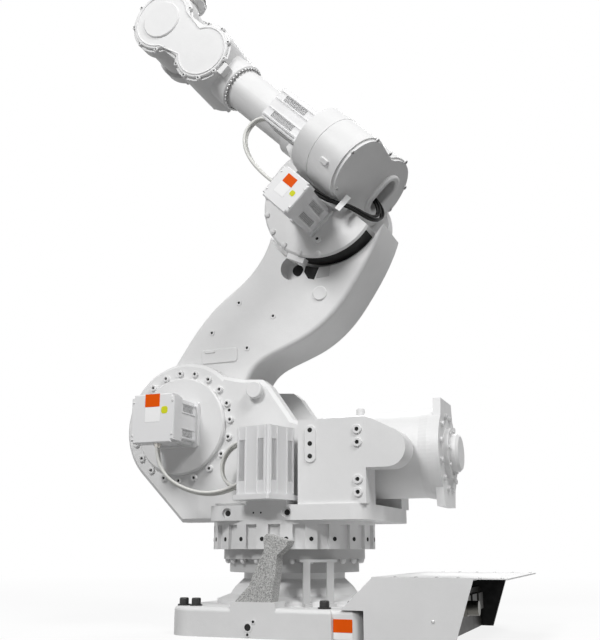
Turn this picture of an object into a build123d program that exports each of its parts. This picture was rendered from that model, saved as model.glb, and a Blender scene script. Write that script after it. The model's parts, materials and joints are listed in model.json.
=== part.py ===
from build123d import *
import os
from math import cos, radians, sin, tan

# Six-axis industrial robot arm on a cast base. X points forward, Y to the robot's left and
# Z up, with the origin on axis 1 at the underside of the base. Sizes are in millimetres.

# Clearances
RUN = 5.0
SEAT = 0.3
EMBED = 3.0

# Axes, in the pose of the photograph
AXIS_2_X = 410.0
AXIS_2_Z = 780.0
LOWER_ARM_LENGTH = 1085.0
LOWER_ARM_LEAN = 33.3
FOREARM_PITCH = 45.0
AXIS_4_RISE = 188.0
FOREARM_LENGTH = 1345.0
WRIST_BEND = 50.0
FLANGE_REACH = 250.0

# Base casting
BASE_FRONT = 345.0
BASE_REAR = -400.0
BASE_HALF_WIDTH = 395.0
BASE_TAIL_HALF_WIDTH = 380.0
BASE_TAIL_START = -290.0
BASE_HEIGHT = 100.0
BASE_CORNER = 90.0
FOOT_HOLE_R = 13.5
FOOT_HOLE_FRONT_X = 300.0
FOOT_HOLE_FRONT_INNER_X = 250.0
FOOT_HOLE_REAR_X = -348.0
FOOT_HOLE_REAR_INNER_X = -247.0
FOOT_HOLE_INSET = 55.0
FOOT_HOLE_Y = BASE_HALF_WIDTH - FOOT_HOLE_INSET
PEDESTAL_FOOT_R = 300.0
PEDESTAL_MID_R = 232.0
PEDESTAL_NECK_R = 198.0
PEDESTAL_TOP = 214.0
GEAR_FLANGE_R = 254.0
GEAR_FLANGE_TOP = 262.0
GEAR_DISC_R = 278.0
STOP_BOSS_LENGTH = 170.0
STOP_BOSS_DEPTH = 90.0
STOP_BOSS_TOP = 120.0
STOP_PIN_THICKNESS = 60.0
STRUT_WIDTH = 26.0
STRUT_THICKNESS = 10.0
STRUT_SPREAD = 90.0
STRUT_ANGLE = 128.0

# Cable box behind the base
BOX_WALL = 4.0
BOX_TOP = 204.0
BOX_REAR_TOP = -770.0
BOX_REAR_FOOT = -702.0
BOX_FRONT_TOP = -430.0
BOX_FRONT_FOOT = -320.0
LID_REAR = -880.0
LID_THICKNESS = 4.0
CONNECTOR_PLATE_X = -655.0
CONNECTOR_PLATE_HEIGHT = 150.0
GLAND_R = 24.0
GLAND_LENGTH = 95.0
GLAND_Z = 105.0

# Turning frame
RING_R = 320.0
RING_BOTTOM = 298.0
DECK_BOTTOM = 400.0
DECK_TOP = 455.0
RING_POCKETS = 22
RING_POCKET_WIDTH = 46.0
RING_POCKET_DEPTH = 15.0
RING_LIP = 14.0
DECK_FRONT = 239.0
DECK_REAR = -393.0
DECK_HALF_WIDTH = 310.0
DECK_CORNER = 60.0
CHEEK_INNER = 140.0
CHEEK_OUTER = 208.0
CHEEK_R = 262.0
CHEEK_EDGE = 14.0
REAR_ARM_INNER = 185.0
REAR_ARM_OUTER = 300.0
REAR_ARM_FRONT = -132.0
REAR_ARM_TOP = 763.0
TRUNNION_X = -470.0
TRUNNION_Z = 650.0
TRUNNION_R = 40.0
TRUNNION_REACH = 55.0
REAR_ARM_END_R = 70.0
PLUG_X = 82.0
PLUG_Z = 905.0
PLUG_R = 33.0
PLUG_LENGTH = 30.0

# Balancer
BALANCER_R = 165.0
BALANCER_FRONT = -150.0
BALANCER_REAR = -600.0
END_PLATE_THICKNESS = 30.0
END_PLATE_R = 172.0
END_PLATE_HEIGHT = 400.0
END_PLATE_LUG_WIDTH = 190.0
END_CAP_R = 95.0
END_CAP_DOME_R = 72.0
END_CAP_LENGTH = 50.0

# Servo motors
MOTOR_1_SIDE = 160.0
MOTOR_1_LENGTH = 265.0
MOTOR_1_X = -12.0
MOTOR_1_TURN = -17.0
MOTOR_2_SIDE = 165.0
MOTOR_2_LENGTH = 150.0
MOTOR_3_SIDE = 126.0
MOTOR_3_LENGTH = 218.0
MOTOR_4_SIDE = 150.0
MOTOR_4_LENGTH = 230.0
MOTOR_PLATE = 18.0
MOTOR_PLATE_MARGIN = 16.0
MOTOR_NOTCH = 20.0
MOTOR_COVER_DEPTH = 62.0
MOTOR_COVER_MARGIN = 22.0
FIN_DEPTH = 6.0
FIN_PANEL = 28.0
AXIS_2_DISC_R = 196.0
AXIS_2_DISC_THICKNESS = 22.0

# Lower arm
LOWER_ARM_HALF_WIDTH = 132.0
LOWER_END_R = 225.0
LOWER_HUB_R = 160.0
ELBOW_FRONT = 250.0
ELBOW_PLATE_R = 195.0
CRADLE_CLEARANCE = 20.0
ELBOW_PLATE_INNER = -155.0
ELBOW_PLATE_OUTER = -225.0
ELBOW_STEP = 600.0
LOWER_ARM_EDGE = 18.0
POCKET_X = -20.0
POCKET_R = 52.0
POCKET_DEPTH = 70.0

# Upper arm
DRUM_R = 250.0
DRUM_OUTER = 145.0
GEAR_COVER_R = 250.0
GEAR_COVER_THICKNESS = 50.0
MOTOR_3_ALONG = -20.0
MOTOR_3_DROP = 70.0
REAR_FACE = -82.0
COVER_THICKNESS = 15.0
COVER_INSET = 8.0
CASE_FRONT = 150.0
AXIS_4_LOBE_R = 180.0
MOTOR_LOBE_R = 145.0
MOTOR_4_Y = 265.0
MOTOR_4_N = 182.0
SHELF_N = 45.0
BARREL_R = 112.0
BARREL_FRONT = 430.0
GROMMET_LENGTH = 150.0
GROMMET_BORE_R = 40.0
GROMMET_WALL = 26.0
GROMMET_N = 198.0
GROMMET_PROUD = 18.0
CABLE_PASSAGE_DEPTH = 82.0

# Forearm and wrist
TUBE_R = 96.5
WRIST_REACH = 495.0
WRIST_START = FOREARM_LENGTH - WRIST_REACH
WRIST_RING_R = 116.0
WRIST_RING_LENGTH = 22.0
WRIST_HALF_WIDTH = 150.0
SMALL_LOBE_BACK = 314.0
SMALL_LOBE_R = 148.0
WAIST_HALF_HEIGHT = 105.0
FORK_R = 165.0
FORK_INNER = 92.0
SIDE_COVER_THICKNESS = 14.0
SIDE_COVER_INSET = 12.0
SIDE_DISC_R = 96.0
SIDE_DISC_THICKNESS = 8.0
TILT_HUB_R = 150.0
TILT_BEARING_R = 80.0
TILT_NECK_R = 85.0
TILT_NECK_LENGTH = 176.0
TILT_FACE = 205.0
TILT_COLLAR_R = 115.0
FLANGE_R = 120.0
FLANGE_PCD = 200.0
FLANGE_HOLES = 12
FLANGE_HOLE_R = 5.1
PILOT_R = 50.0
PILOT_DEPTH = 12.0

# Leads
LEAD_R = 7.0
BUNDLE_R = 8.0


def slab(profile, y_from, y_to):
    """Extrude a profile drawn in X and Z between two values of Y."""
    face_plane = Plane((0, y_to, 0), x_dir=(1, 0, 0), z_dir=(0, -1, 0))
    return extrude(face_plane * profile, amount=y_to - y_from)


def disc_y(x, z, radius, y_from, y_to):
    """A round disc about a line along Y."""
    return slab(Pos(x, z) * Circle(radius), y_from, y_to)


def rod_x(y, z, radius, x_from, x_to):
    """A round bar along X."""
    start = Plane((x_from, y, z), x_dir=(0, 1, 0), z_dir=(1, 0, 0))
    return extrude(start * Circle(radius), amount=x_to - x_from)


def along_x(profile, x_from, x_to):
    """Extrude a profile drawn in Y and Z between two values of X."""
    start = Plane((x_from, 0, 0), x_dir=(0, 1, 0), z_dir=(1, 0, 0))
    return extrude(start * profile, amount=x_to - x_from)


def block(x_from, x_to, y_from, y_to, z_from, z_to):
    """A plain block between two corners."""
    size = Box(x_to - x_from, y_to - y_from, z_to - z_from)
    return Pos((x_from + x_to) / 2, (y_from + y_to) / 2, (z_from + z_to) / 2) * size


def turned(*points):
    """A solid of revolution about Z from radius and height pairs."""
    return revolve(Plane.XZ * make_face(Polyline(*points, close=True)), Axis.Z)


def mirrored(piece):
    """The same piece on the other side of the robot's middle plane."""
    return mirror(piece, about=Plane.XZ)


def notched_square(side, notch):
    """A square with a small square step taken out of each corner."""
    square = Rectangle(side, side)
    for x in (-1, 1):
        for y in (-1, 1):
            square -= Pos(x * side / 2, y * side / 2) * Rectangle(notch, notch)
    return square


def servo_motor(side, length):
    """A servo motor along Z on a foot plate, with a recessed fin panel in each edge of its sides."""
    plate_side = side + MOTOR_PLATE_MARGIN
    motor = extrude(RectangleRounded(plate_side, plate_side, MOTOR_NOTCH / 2), MOTOR_PLATE)
    motor += Pos(0, 0, MOTOR_PLATE) * extrude(notched_square(side, MOTOR_NOTCH), length - MOTOR_PLATE)
    panel_height = 0.6 * (length - MOTOR_PLATE)
    panel_z = MOTOR_PLATE + (length - MOTOR_PLATE) / 2
    offset = side / 2 - MOTOR_NOTCH - FIN_PANEL / 2
    for quarter in range(4):
        for across in (-offset, offset):
            panel = Pos(side / 2, across, panel_z) * Box(2 * FIN_DEPTH, FIN_PANEL, panel_height)
            motor -= Rot(0, 0, 90 * quarter) * panel
    return motor


def motor_cover(side):
    """The square end cover of a servo motor, stepped at its corners."""
    cover = extrude(notched_square(side + MOTOR_COVER_MARGIN, MOTOR_NOTCH), MOTOR_COVER_DEPTH)
    return chamfer(cover.faces().sort_by(Axis.Z)[-1].edges(), 4)


def lead(points, radius):
    """A round lead along straight runs joined by the largest tangent arcs they allow."""
    route = [Vector(*point) for point in points]
    radii = []
    for before, corner, after in zip(route, route[1:], route[2:]):
        turn = (corner - before).get_angle(after - corner)
        shorter = min((corner - before).length, (after - corner).length)
        radii.append(0.45 * shorter / tan(radians(turn / 2)))
    path = FilletPolyline(*route, radius=radii)
    section = Plane(route[0], z_dir=route[1] - route[0]) * Circle(radius)
    print("lead", round(path.length), "mm, smallest radius", round(min(radii)), "mm")
    return sweep(section, path=path)


# Frames of the three tilted links
lean = radians(LOWER_ARM_LEAN)
pitch = radians(FOREARM_PITCH)
tool_angle = radians(FOREARM_PITCH + WRIST_BEND)
AXIS_3_X = AXIS_2_X - LOWER_ARM_LENGTH * sin(lean)
AXIS_3_Z = AXIS_2_Z + LOWER_ARM_LENGTH * cos(lean)
lower_arm_frame = Plane((AXIS_2_X, 0, AXIS_2_Z), x_dir=(cos(lean), 0, sin(lean)),
                        z_dir=(-sin(lean), 0, cos(lean)))
upper_arm_frame = Plane((AXIS_3_X, 0, AXIS_3_Z), x_dir=(cos(pitch), 0, sin(pitch)),
                        z_dir=(-sin(pitch), 0, cos(pitch)))
AXIS_5_X = AXIS_3_X + FOREARM_LENGTH * cos(pitch) - AXIS_4_RISE * sin(pitch)
AXIS_5_Z = AXIS_3_Z + FOREARM_LENGTH * sin(pitch) + AXIS_4_RISE * cos(pitch)
tool_frame = Plane((AXIS_5_X, 0, AXIS_5_Z), x_dir=(sin(tool_angle), 0, -cos(tool_angle)),
                   z_dir=(cos(tool_angle), 0, sin(tool_angle)))


def base_casting():
    """The cast foot with its round pedestal and the boss of the stop pin."""
    outline = RectangleRounded(BASE_FRONT - BASE_REAR, 2 * BASE_HALF_WIDTH, BASE_CORNER)
    foot = Pos((BASE_FRONT + BASE_REAR) / 2, 0, 0) * extrude(outline, BASE_HEIGHT)
    step = block(2 * BASE_REAR, BASE_TAIL_START, BASE_TAIL_HALF_WIDTH, 2 * BASE_HALF_WIDTH, -1,
                 BASE_HEIGHT + 1)
    foot -= [step, mirrored(step)]
    foot = fillet(foot.faces().sort_by(Axis.Z)[-1].edges(), 16)
    pedestal = turned(
        (0, BASE_HEIGHT / 2), (PEDESTAL_FOOT_R, BASE_HEIGHT / 2), (PEDESTAL_FOOT_R, BASE_HEIGHT + 14),
        (PEDESTAL_MID_R + 18, BASE_HEIGHT + 32), (PEDESTAL_MID_R, BASE_HEIGHT + 58),
        (PEDESTAL_NECK_R, PEDESTAL_TOP - 24), (PEDESTAL_NECK_R, PEDESTAL_TOP), (0, PEDESTAL_TOP))
    boss = block(-STOP_BOSS_LENGTH / 2, STOP_BOSS_LENGTH / 2, BASE_HALF_WIDTH - STOP_BOSS_DEPTH,
                 BASE_HALF_WIDTH, BASE_HEIGHT / 2, STOP_BOSS_TOP)
    casting = foot + pedestal + boss
    for x in (FOOT_HOLE_FRONT_X, FOOT_HOLE_FRONT_INNER_X, FOOT_HOLE_REAR_X, FOOT_HOLE_REAR_INNER_X):
        for y in (-FOOT_HOLE_Y, FOOT_HOLE_Y):
            casting -= Pos(x, y, BASE_HEIGHT / 2) * Cylinder(FOOT_HOLE_R, 3 * BASE_HEIGHT)
    return casting


def axis_1_gear_flange():
    """The fixed gear flange and disc that carry the slewing ring."""
    top = RING_BOTTOM - SEAT
    return turned((0, PEDESTAL_TOP), (GEAR_FLANGE_R, PEDESTAL_TOP), (GEAR_FLANGE_R, GEAR_FLANGE_TOP),
                  (GEAR_DISC_R, GEAR_FLANGE_TOP), (GEAR_DISC_R, top), (0, top))


def axis_1_stop_pin():
    """The leaning cast pin that stops the turn of axis 1, waisted below its flared head."""
    foot = STOP_BOSS_TOP
    outline = Polyline((68, foot), (14, foot + 55), (-14, foot + 120), (-43, foot + 178), (-38, foot + 214),
                       (-50, foot + 230), (-134, foot + 206), (-127, foot + 188), (-91, foot + 158),
                       (-86, foot + 98), (-72, foot), close=True)
    back = BASE_HALF_WIDTH - STOP_PIN_THICKNESS
    return slab(make_face(outline), back, BASE_HALF_WIDTH)


def strap_bracket():
    """Two flat struts from the base up to a bar under the gear disc."""
    bar_bottom = GEAR_FLANGE_TOP - STRUT_THICKNESS
    inner = PEDESTAL_FOOT_R + 2
    outer = inner + STRUT_THICKNESS
    half = STRUT_SPREAD / 2 + STRUT_WIDTH
    bar = block(GEAR_FLANGE_R + 2, outer, -half, half, bar_bottom, GEAR_FLANGE_TOP)
    for side in (-1, 1):
        low = side * STRUT_SPREAD / 2 - STRUT_WIDTH / 2
        high = low + STRUT_WIDTH
        bar += block(inner, outer, low, high, BASE_HEIGHT, GEAR_FLANGE_TOP)
        bar += block(inner, outer + STRUT_WIDTH, low, high, BASE_HEIGHT, BASE_HEIGHT + STRUT_THICKNESS)
    return Rot(0, 0, STRUT_ANGLE) * bar


def cable_box():
    """The sheet box behind the base, open at the rear and below, with a sloped front."""
    wall_y = BASE_TAIL_HALF_WIDTH + SEAT
    outer = make_face(Polyline((BOX_FRONT_FOOT, BASE_HEIGHT), (BOX_FRONT_TOP, BOX_TOP),
                               (BOX_REAR_TOP, BOX_TOP),
                               (BOX_REAR_FOOT, BOX_WALL), (BASE_REAR, BOX_WALL), (BASE_REAR, BASE_HEIGHT),
                               close=True))
    inner = make_face(Polyline((BOX_FRONT_FOOT - 3 * BOX_WALL, BASE_HEIGHT - 1),
                               (BOX_FRONT_TOP - BOX_WALL, BOX_TOP - BOX_WALL),
                               (2 * BOX_REAR_TOP, BOX_TOP - BOX_WALL), (2 * BOX_REAR_TOP, -BOX_WALL),
                               (BASE_REAR + 1, -BOX_WALL), (BASE_REAR + 1, BASE_HEIGHT - 1), close=True))
    return slab(outer, -wall_y - BOX_WALL, wall_y + BOX_WALL) - slab(inner, -wall_y, wall_y)


def cable_box_lid():
    """The flat lid that overhangs the open rear of the box."""
    half = BASE_TAIL_HALF_WIDTH + SEAT + BOX_WALL
    return block(LID_REAR, BOX_FRONT_TOP, -half, half, BOX_TOP, BOX_TOP + LID_THICKNESS)


def connector_plate():
    """The upright plate inside the box with its row of connector housings."""
    half = BASE_TAIL_HALF_WIDTH + SEAT
    plate = block(CONNECTOR_PLATE_X, CONNECTOR_PLATE_X + BOX_WALL, -half, half, BOX_WALL,
                  BOX_WALL + CONNECTOR_PLATE_HEIGHT)
    for y in (-260, -130, 0):
        plate += block(CONNECTOR_PLATE_X - 24, CONNECTOR_PLATE_X, y - 45, y + 45, GLAND_Z - 30, GLAND_Z + 30)
    return plate


def cable_gland():
    """The metal gland with its hexagonal nut on the connector plate."""
    y = BASE_TAIL_HALF_WIDTH / 2
    gland = rod_x(y, GLAND_Z, GLAND_R, CONNECTOR_PLATE_X - GLAND_LENGTH, CONNECTOR_PLATE_X)
    nut = along_x(Pos(y, GLAND_Z) * RegularPolygon(1.3 * GLAND_R, 6), CONNECTOR_PLATE_X - 0.6 * GLAND_LENGTH,
                  CONNECTOR_PLATE_X - 0.3 * GLAND_LENGTH)
    return gland + nut


def slewing_ring():
    """The ring that turns on axis 1, with pockets between its lands."""
    ring = turned((0, RING_BOTTOM), (RING_R, RING_BOTTOM), (RING_R, DECK_BOTTOM), (0, DECK_BOTTOM))
    height = DECK_BOTTOM - RING_BOTTOM - RING_LIP
    pocket = Pos(RING_R, 0, RING_BOTTOM + height / 2) * Box(2 * RING_POCKET_DEPTH, RING_POCKET_WIDTH, height)
    ring -= [Rot(0, 0, 360 * k / RING_POCKETS) * pocket for k in range(RING_POCKETS)]
    return ring


def frame_deck():
    """The deck of the turning frame, with two counterbored holes in each side."""
    outline = RectangleRounded(DECK_FRONT - DECK_REAR, 2 * DECK_HALF_WIDTH, DECK_CORNER)
    deck = Pos((DECK_FRONT + DECK_REAR) / 2, 0, DECK_BOTTOM) * extrude(outline, DECK_TOP - DECK_BOTTOM)
    middle = (DECK_BOTTOM + DECK_TOP) / 2
    for x in (DECK_FRONT - 90, DECK_FRONT - 330):
        for side in (-1, 1):
            deck -= disc_y(x, middle, 19, side * DECK_HALF_WIDTH - 10, side * DECK_HALF_WIDTH + 10)
    pad_y = CHEEK_OUTER + RUN + (MOTOR_1_SIDE + MOTOR_PLATE_MARGIN) / 2
    pad = Box(MOTOR_1_SIDE, MOTOR_1_SIDE / 2, 16)
    return deck + Pos(MOTOR_1_X, pad_y - MOTOR_1_SIDE / 6, DECK_TOP + 8) * pad


def left_cheek():
    """The side wall that carries axis 2, round at the front and stepped down to the rear arm."""
    corner = CHEEK_R * cos(radians(45))
    wall = make_face(Polyline(
        (AXIS_2_X + corner, AXIS_2_Z - corner),
        (AXIS_2_X + corner - (AXIS_2_Z - corner - DECK_TOP), DECK_TOP),
        (REAR_ARM_FRONT, DECK_TOP), (REAR_ARM_FRONT, REAR_ARM_TOP), (-70, REAR_ARM_TOP + 20),
        (30, PLUG_Z + 20),
        (62, PLUG_Z + 46), (150, PLUG_Z + 52), (230, AXIS_2_Z + 195), (AXIS_2_X, AXIS_2_Z), close=True))
    profile = wall + Pos(AXIS_2_X, AXIS_2_Z) * Circle(CHEEK_R)
    nose = make_face(Polyline((DECK_FRONT, DECK_BOTTOM),
                              (AXIS_2_X + corner - (AXIS_2_Z - corner - DECK_BOTTOM), DECK_BOTTOM),
                              (AXIS_2_X + corner - (AXIS_2_Z - corner - DECK_TOP), DECK_TOP),
                              (DECK_FRONT, DECK_TOP), close=True))
    cheek = slab(profile + nose, CHEEK_INNER, CHEEK_OUTER)
    return chamfer(cheek.faces().sort_by(Axis.Y)[-1].edges(), CHEEK_EDGE)


def left_rear_arm():
    """The rear box of the frame with the rounded arm that holds the balancer's trunnion."""
    box = block(DECK_REAR, REAR_ARM_FRONT, REAR_ARM_INNER, REAR_ARM_OUTER, DECK_TOP, REAR_ARM_TOP)
    arm = disc_y(TRUNNION_X, TRUNNION_Z, REAR_ARM_END_R, REAR_ARM_INNER, REAR_ARM_OUTER)
    arm += block(TRUNNION_X, REAR_ARM_FRONT, REAR_ARM_INNER, REAR_ARM_OUTER, TRUNNION_Z - REAR_ARM_END_R,
                 TRUNNION_Z + REAR_ARM_END_R)
    bore = disc_y(TRUNNION_X, TRUNNION_Z, TRUNNION_R + SEAT, REAR_ARM_INNER - 1,
                  BALANCER_R + TRUNNION_REACH + SEAT)
    return box + arm - bore


def axis_2_gear_unit():
    """The round gear unit bolted to the outside of the left cheek."""
    unit = disc_y(AXIS_2_X, AXIS_2_Z, AXIS_2_DISC_R, CHEEK_OUTER, CHEEK_OUTER + AXIS_2_DISC_THICKNESS)
    return chamfer(unit.faces().sort_by(Axis.Y)[-1].edges(), 6)


def axis_2_bearing_cover():
    """The plain round cover over the bearing in the right cheek."""
    cover = disc_y(AXIS_2_X, AXIS_2_Z, AXIS_2_DISC_R, -CHEEK_OUTER - AXIS_2_DISC_THICKNESS, -CHEEK_OUTER)
    return chamfer(cover.faces().sort_by(Axis.Y)[0].edges(), 6)


def shoulder_plug():
    """The round boss on the shoulder of the left cheek."""
    plug = disc_y(PLUG_X, PLUG_Z, PLUG_R, CHEEK_OUTER, CHEEK_OUTER + PLUG_LENGTH)
    return chamfer(plug.faces().sort_by(Axis.Y)[-1].edges(), 3)


def balancer_cylinder():
    """The spring cylinder that balances the lower arm, with its two trunnions."""
    cylinder = rod_x(0, TRUNNION_Z, BALANCER_R, BALANCER_REAR, BALANCER_FRONT)
    reach = BALANCER_R + TRUNNION_REACH
    return cylinder + disc_y(TRUNNION_X, TRUNNION_Z, TRUNNION_R, -reach, reach)


def balancer_end_plate():
    """The end plate with a lug above and below."""
    start = BALANCER_REAR - END_PLATE_THICKNESS
    plate = rod_x(0, TRUNNION_Z, END_PLATE_R, start, BALANCER_REAR)
    half = END_PLATE_HEIGHT / 2
    taper = make_face(Polyline((-END_PLATE_LUG_WIDTH / 2, -half), (END_PLATE_LUG_WIDTH / 2, -half),
                               (END_PLATE_R * 0.8, 0),
                               (END_PLATE_LUG_WIDTH / 2, half), (-END_PLATE_LUG_WIDTH / 2, half),
                               (-END_PLATE_R * 0.8, 0), close=True))
    return plate + Pos(0, 0, TRUNNION_Z) * along_x(taper, start, BALANCER_REAR)


def balancer_end_cap():
    """The stepped cap in the middle of the end plate."""
    start = BALANCER_REAR - END_PLATE_THICKNESS
    cap = rod_x(0, TRUNNION_Z, END_CAP_R, start - 0.4 * END_CAP_LENGTH, start)
    dome = rod_x(0, TRUNNION_Z, END_CAP_DOME_R, start - END_CAP_LENGTH, start)
    return cap + chamfer(dome.faces().sort_by(Axis.X)[0].edges(), 10)


def lower_arm():
    """The waisted casting between axis 2 and axis 3, with a cradle round the elbow drum."""
    half = LOWER_ARM_HALF_WIDTH
    elbow = LOWER_ARM_LENGTH
    tip = (-DRUM_R, elbow + 0.4 * DRUM_R)
    front = Spline((LOWER_END_R, 0), (LOWER_END_R + 3, 258), (200, 498), (150, (elbow + 195) / 2),
                   (140, elbow - 265), (172, elbow - 165), (ELBOW_FRONT, elbow))
    rear = Spline(tip, (-280, elbow), (-294, elbow - 100), (-298, elbow - 225), (-288, (elbow + 345) / 2),
                  (-238, 570), (-150, 440), (-108, 360), (-105, 296), (-165, 150))
    top = Line((ELBOW_FRONT, elbow), tip)
    foot = Polyline((-165, 150), (0, 0), (LOWER_END_R, 0))
    blade = slab(make_face([front, top, rear, foot]), -half, half)
    long_edges = [edge for edge in blade.edges() if edge.geom_type == GeomType.BSPLINE]
    blade = fillet(long_edges, LOWER_ARM_EDGE)
    side = make_face(Polyline((-0.6 * half, ELBOW_STEP), (0.6 * half, ELBOW_STEP), (ELBOW_PLATE_R, elbow),
                              (-ELBOW_PLATE_R, elbow), close=True))
    blade += slab(side, ELBOW_PLATE_OUTER, LOWER_ARM_EDGE - half)
    cradle_r = DRUM_R + CRADLE_CLEARANCE
    blade -= disc_y(0, elbow, cradle_r, ELBOW_PLATE_INNER, half + 1)
    blade -= block(-cradle_r, 2 * ELBOW_FRONT, ELBOW_PLATE_INNER, half + 1, elbow, elbow + 2 * ELBOW_FRONT)
    arm = blade + disc_y(0, 0, LOWER_END_R, -half, half)
    hub_reach = CHEEK_INNER - SEAT
    arm += disc_y(0, 0, LOWER_HUB_R, -hub_reach, hub_reach)
    arm += disc_y(0, elbow, ELBOW_PLATE_R, ELBOW_PLATE_OUTER, ELBOW_PLATE_INNER)
    arm -= disc_y(POCKET_X, elbow - cradle_r - POCKET_R / 2, POCKET_R, half - POCKET_DEPTH, half + 1)
    return lower_arm_frame.location * arm


def keyhole(inset):
    """The outline of the rear gear case: one lobe round axis 4 and one round its motor."""
    lobe_r = AXIS_4_LOBE_R - inset
    motor_r = MOTOR_LOBE_R - inset
    lobes = Pos(0, AXIS_4_RISE) * Circle(lobe_r) + Pos(MOTOR_4_Y, MOTOR_4_N) * Circle(motor_r)
    waist = make_face(Polyline((0, AXIS_4_RISE - lobe_r), (MOTOR_4_Y, MOTOR_4_N - motor_r),
                               (MOTOR_4_Y, MOTOR_4_N + motor_r),
                               (MOTOR_4_Y / 2, AXIS_4_RISE + 0.75 * lobe_r), (0, AXIS_4_RISE + lobe_r),
                               close=True))
    return lobes + waist


def cable_passage(x_from, x_to, radius):
    """The long round-ended opening where the cables enter the arm."""
    length = GROMMET_LENGTH - 2 * GROMMET_BORE_R + 2 * radius
    slot = Pos(0, GROMMET_N) * Rot(0, 0, 90) * SlotOverall(length, 2 * radius)
    return along_x(slot, x_from, x_to)


def elbow_plate_room():
    """The room that the plate of the lower arm needs beside the gear case."""
    return disc_y(0, 0, ELBOW_PLATE_R + RUN, 2 * ELBOW_PLATE_OUTER, ELBOW_PLATE_INNER + SEAT)


def upper_arm_housing():
    """The elbow drum, the rear gear case and the barrel that carries the forearm tube."""
    shelf = block(-2 * DRUM_R, REAR_FACE - COVER_THICKNESS, -2 * DRUM_R, 2 * DRUM_R, SHELF_N, 2 * DRUM_R)
    drum = disc_y(0, 0, DRUM_R, ELBOW_PLATE_INNER + SEAT, DRUM_OUTER) - shelf
    drum -= along_x(keyhole(0), REAR_FACE - COVER_THICKNESS - 1, REAR_FACE)
    case = along_x(keyhole(0), REAR_FACE, CASE_FRONT)
    barrel = rod_x(0, AXIS_4_RISE, BARREL_R, CASE_FRONT, BARREL_FRONT)
    web = make_face(Polyline((0, 0), (DRUM_R, 0.2 * AXIS_4_RISE), (BARREL_FRONT - 60, 0.5 * AXIS_4_RISE),
                             (BARREL_FRONT - 60, AXIS_4_RISE), (0, AXIS_4_RISE), close=True))
    housing = drum + case + barrel + slab(web, -0.75 * BARREL_R, 0.75 * BARREL_R)
    pad = Pos(MOTOR_4_Y, MOTOR_4_N) * Rectangle(MOTOR_4_SIDE, MOTOR_4_SIDE)
    housing += along_x(pad, CASE_FRONT, CASE_FRONT + MOTOR_PLATE)
    housing -= cable_passage(REAR_FACE - 1, REAR_FACE + CABLE_PASSAGE_DEPTH, GROMMET_BORE_R)
    housing -= elbow_plate_room()
    return upper_arm_frame.location * housing


def rear_gear_cover():
    """The cover plate on the back of the gear case, with the opening for the cables."""
    cover = along_x(keyhole(COVER_INSET), REAR_FACE - COVER_THICKNESS, REAR_FACE)
    cover -= cable_passage(REAR_FACE - 2 * COVER_THICKNESS, REAR_FACE + 1, GROMMET_BORE_R + GROMMET_WALL)
    cover -= elbow_plate_room()
    return upper_arm_frame.location * cover


def cable_grommet():
    """The rounded rim of the cable opening."""
    back = REAR_FACE - COVER_THICKNESS - GROMMET_PROUD
    rim = cable_passage(back, REAR_FACE, GROMMET_BORE_R + GROMMET_WALL)
    rim = fillet(rim.faces().sort_by(Axis.X)[0].edges(), 0.45 * GROMMET_WALL)
    rim -= cable_passage(back - 1, REAR_FACE + 1, GROMMET_BORE_R)
    rim = fillet(rim.faces().sort_by(Axis.X)[0].inner_wires()[0].edges(), 0.45 * GROMMET_WALL)
    return upper_arm_frame.location * rim


def axis_3_gear_cover():
    """The round cover of the elbow gear, with a tab at its lower edge and a small hollow boss."""
    outer = DRUM_OUTER + GEAR_COVER_THICKNESS
    cover = disc_y(0, 0, GEAR_COVER_R, DRUM_OUTER, outer)
    cover = chamfer(cover.faces().sort_by(Axis.Y)[-1].edges(), 8)
    cover += Rot(0, 20, 0) * block(-40, 40, DRUM_OUTER, outer - 10, -GEAR_COVER_R - 22, -GEAR_COVER_R + 30)
    cover -= block(-2 * DRUM_R, REAR_FACE - COVER_THICKNESS, DRUM_OUTER - 1, outer + 1, SHELF_N, 2 * DRUM_R)
    cover -= along_x(keyhole(-RUN), REAR_FACE - COVER_THICKNESS - 1, CASE_FRONT + MOTOR_PLATE + RUN)
    motor_room = (MOTOR_4_SIDE + MOTOR_PLATE_MARGIN) / 2 + RUN
    cover -= block(CASE_FRONT, 2 * GEAR_COVER_R, MOTOR_4_Y - motor_room, 2 * outer, MOTOR_4_N - motor_room,
                   2 * DRUM_R)
    cover += disc_y(-118, -128, 16, outer - 1, outer + 14) - disc_y(-118, -128, 7, outer, outer + 15)
    return upper_arm_frame.location * cover


def axis_3_motor():
    """The servo motor of axis 3, square to the arm."""
    seat = Plane((MOTOR_3_ALONG, DRUM_OUTER + GEAR_COVER_THICKNESS, -MOTOR_3_DROP), x_dir=(1, 0, 0),
                 z_dir=(0, 1, 0))
    return (upper_arm_frame.location * seat.location) * servo_motor(MOTOR_3_SIDE, MOTOR_3_LENGTH)


def axis_3_motor_cover():
    """The end cover of the axis 3 motor."""
    outer = DRUM_OUTER + GEAR_COVER_THICKNESS + MOTOR_3_LENGTH
    seat = Plane((MOTOR_3_ALONG, outer, -MOTOR_3_DROP), x_dir=(1, 0, 0), z_dir=(0, 1, 0))
    return (upper_arm_frame.location * seat.location) * motor_cover(MOTOR_3_SIDE)


def axis_4_motor():
    """The servo motor of axis 4, beside the forearm barrel."""
    seat = Plane((CASE_FRONT + MOTOR_PLATE, MOTOR_4_Y, MOTOR_4_N), x_dir=(0, 1, 0), z_dir=(1, 0, 0))
    return (upper_arm_frame.location * seat.location) * servo_motor(MOTOR_4_SIDE, MOTOR_4_LENGTH)


def arm_tube():
    """The forearm tube that turns on axis 4."""
    tube = rod_x(0, AXIS_4_RISE, TUBE_R, BARREL_FRONT + SEAT, WRIST_START - WRIST_RING_LENGTH)
    return upper_arm_frame.location * tube


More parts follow.
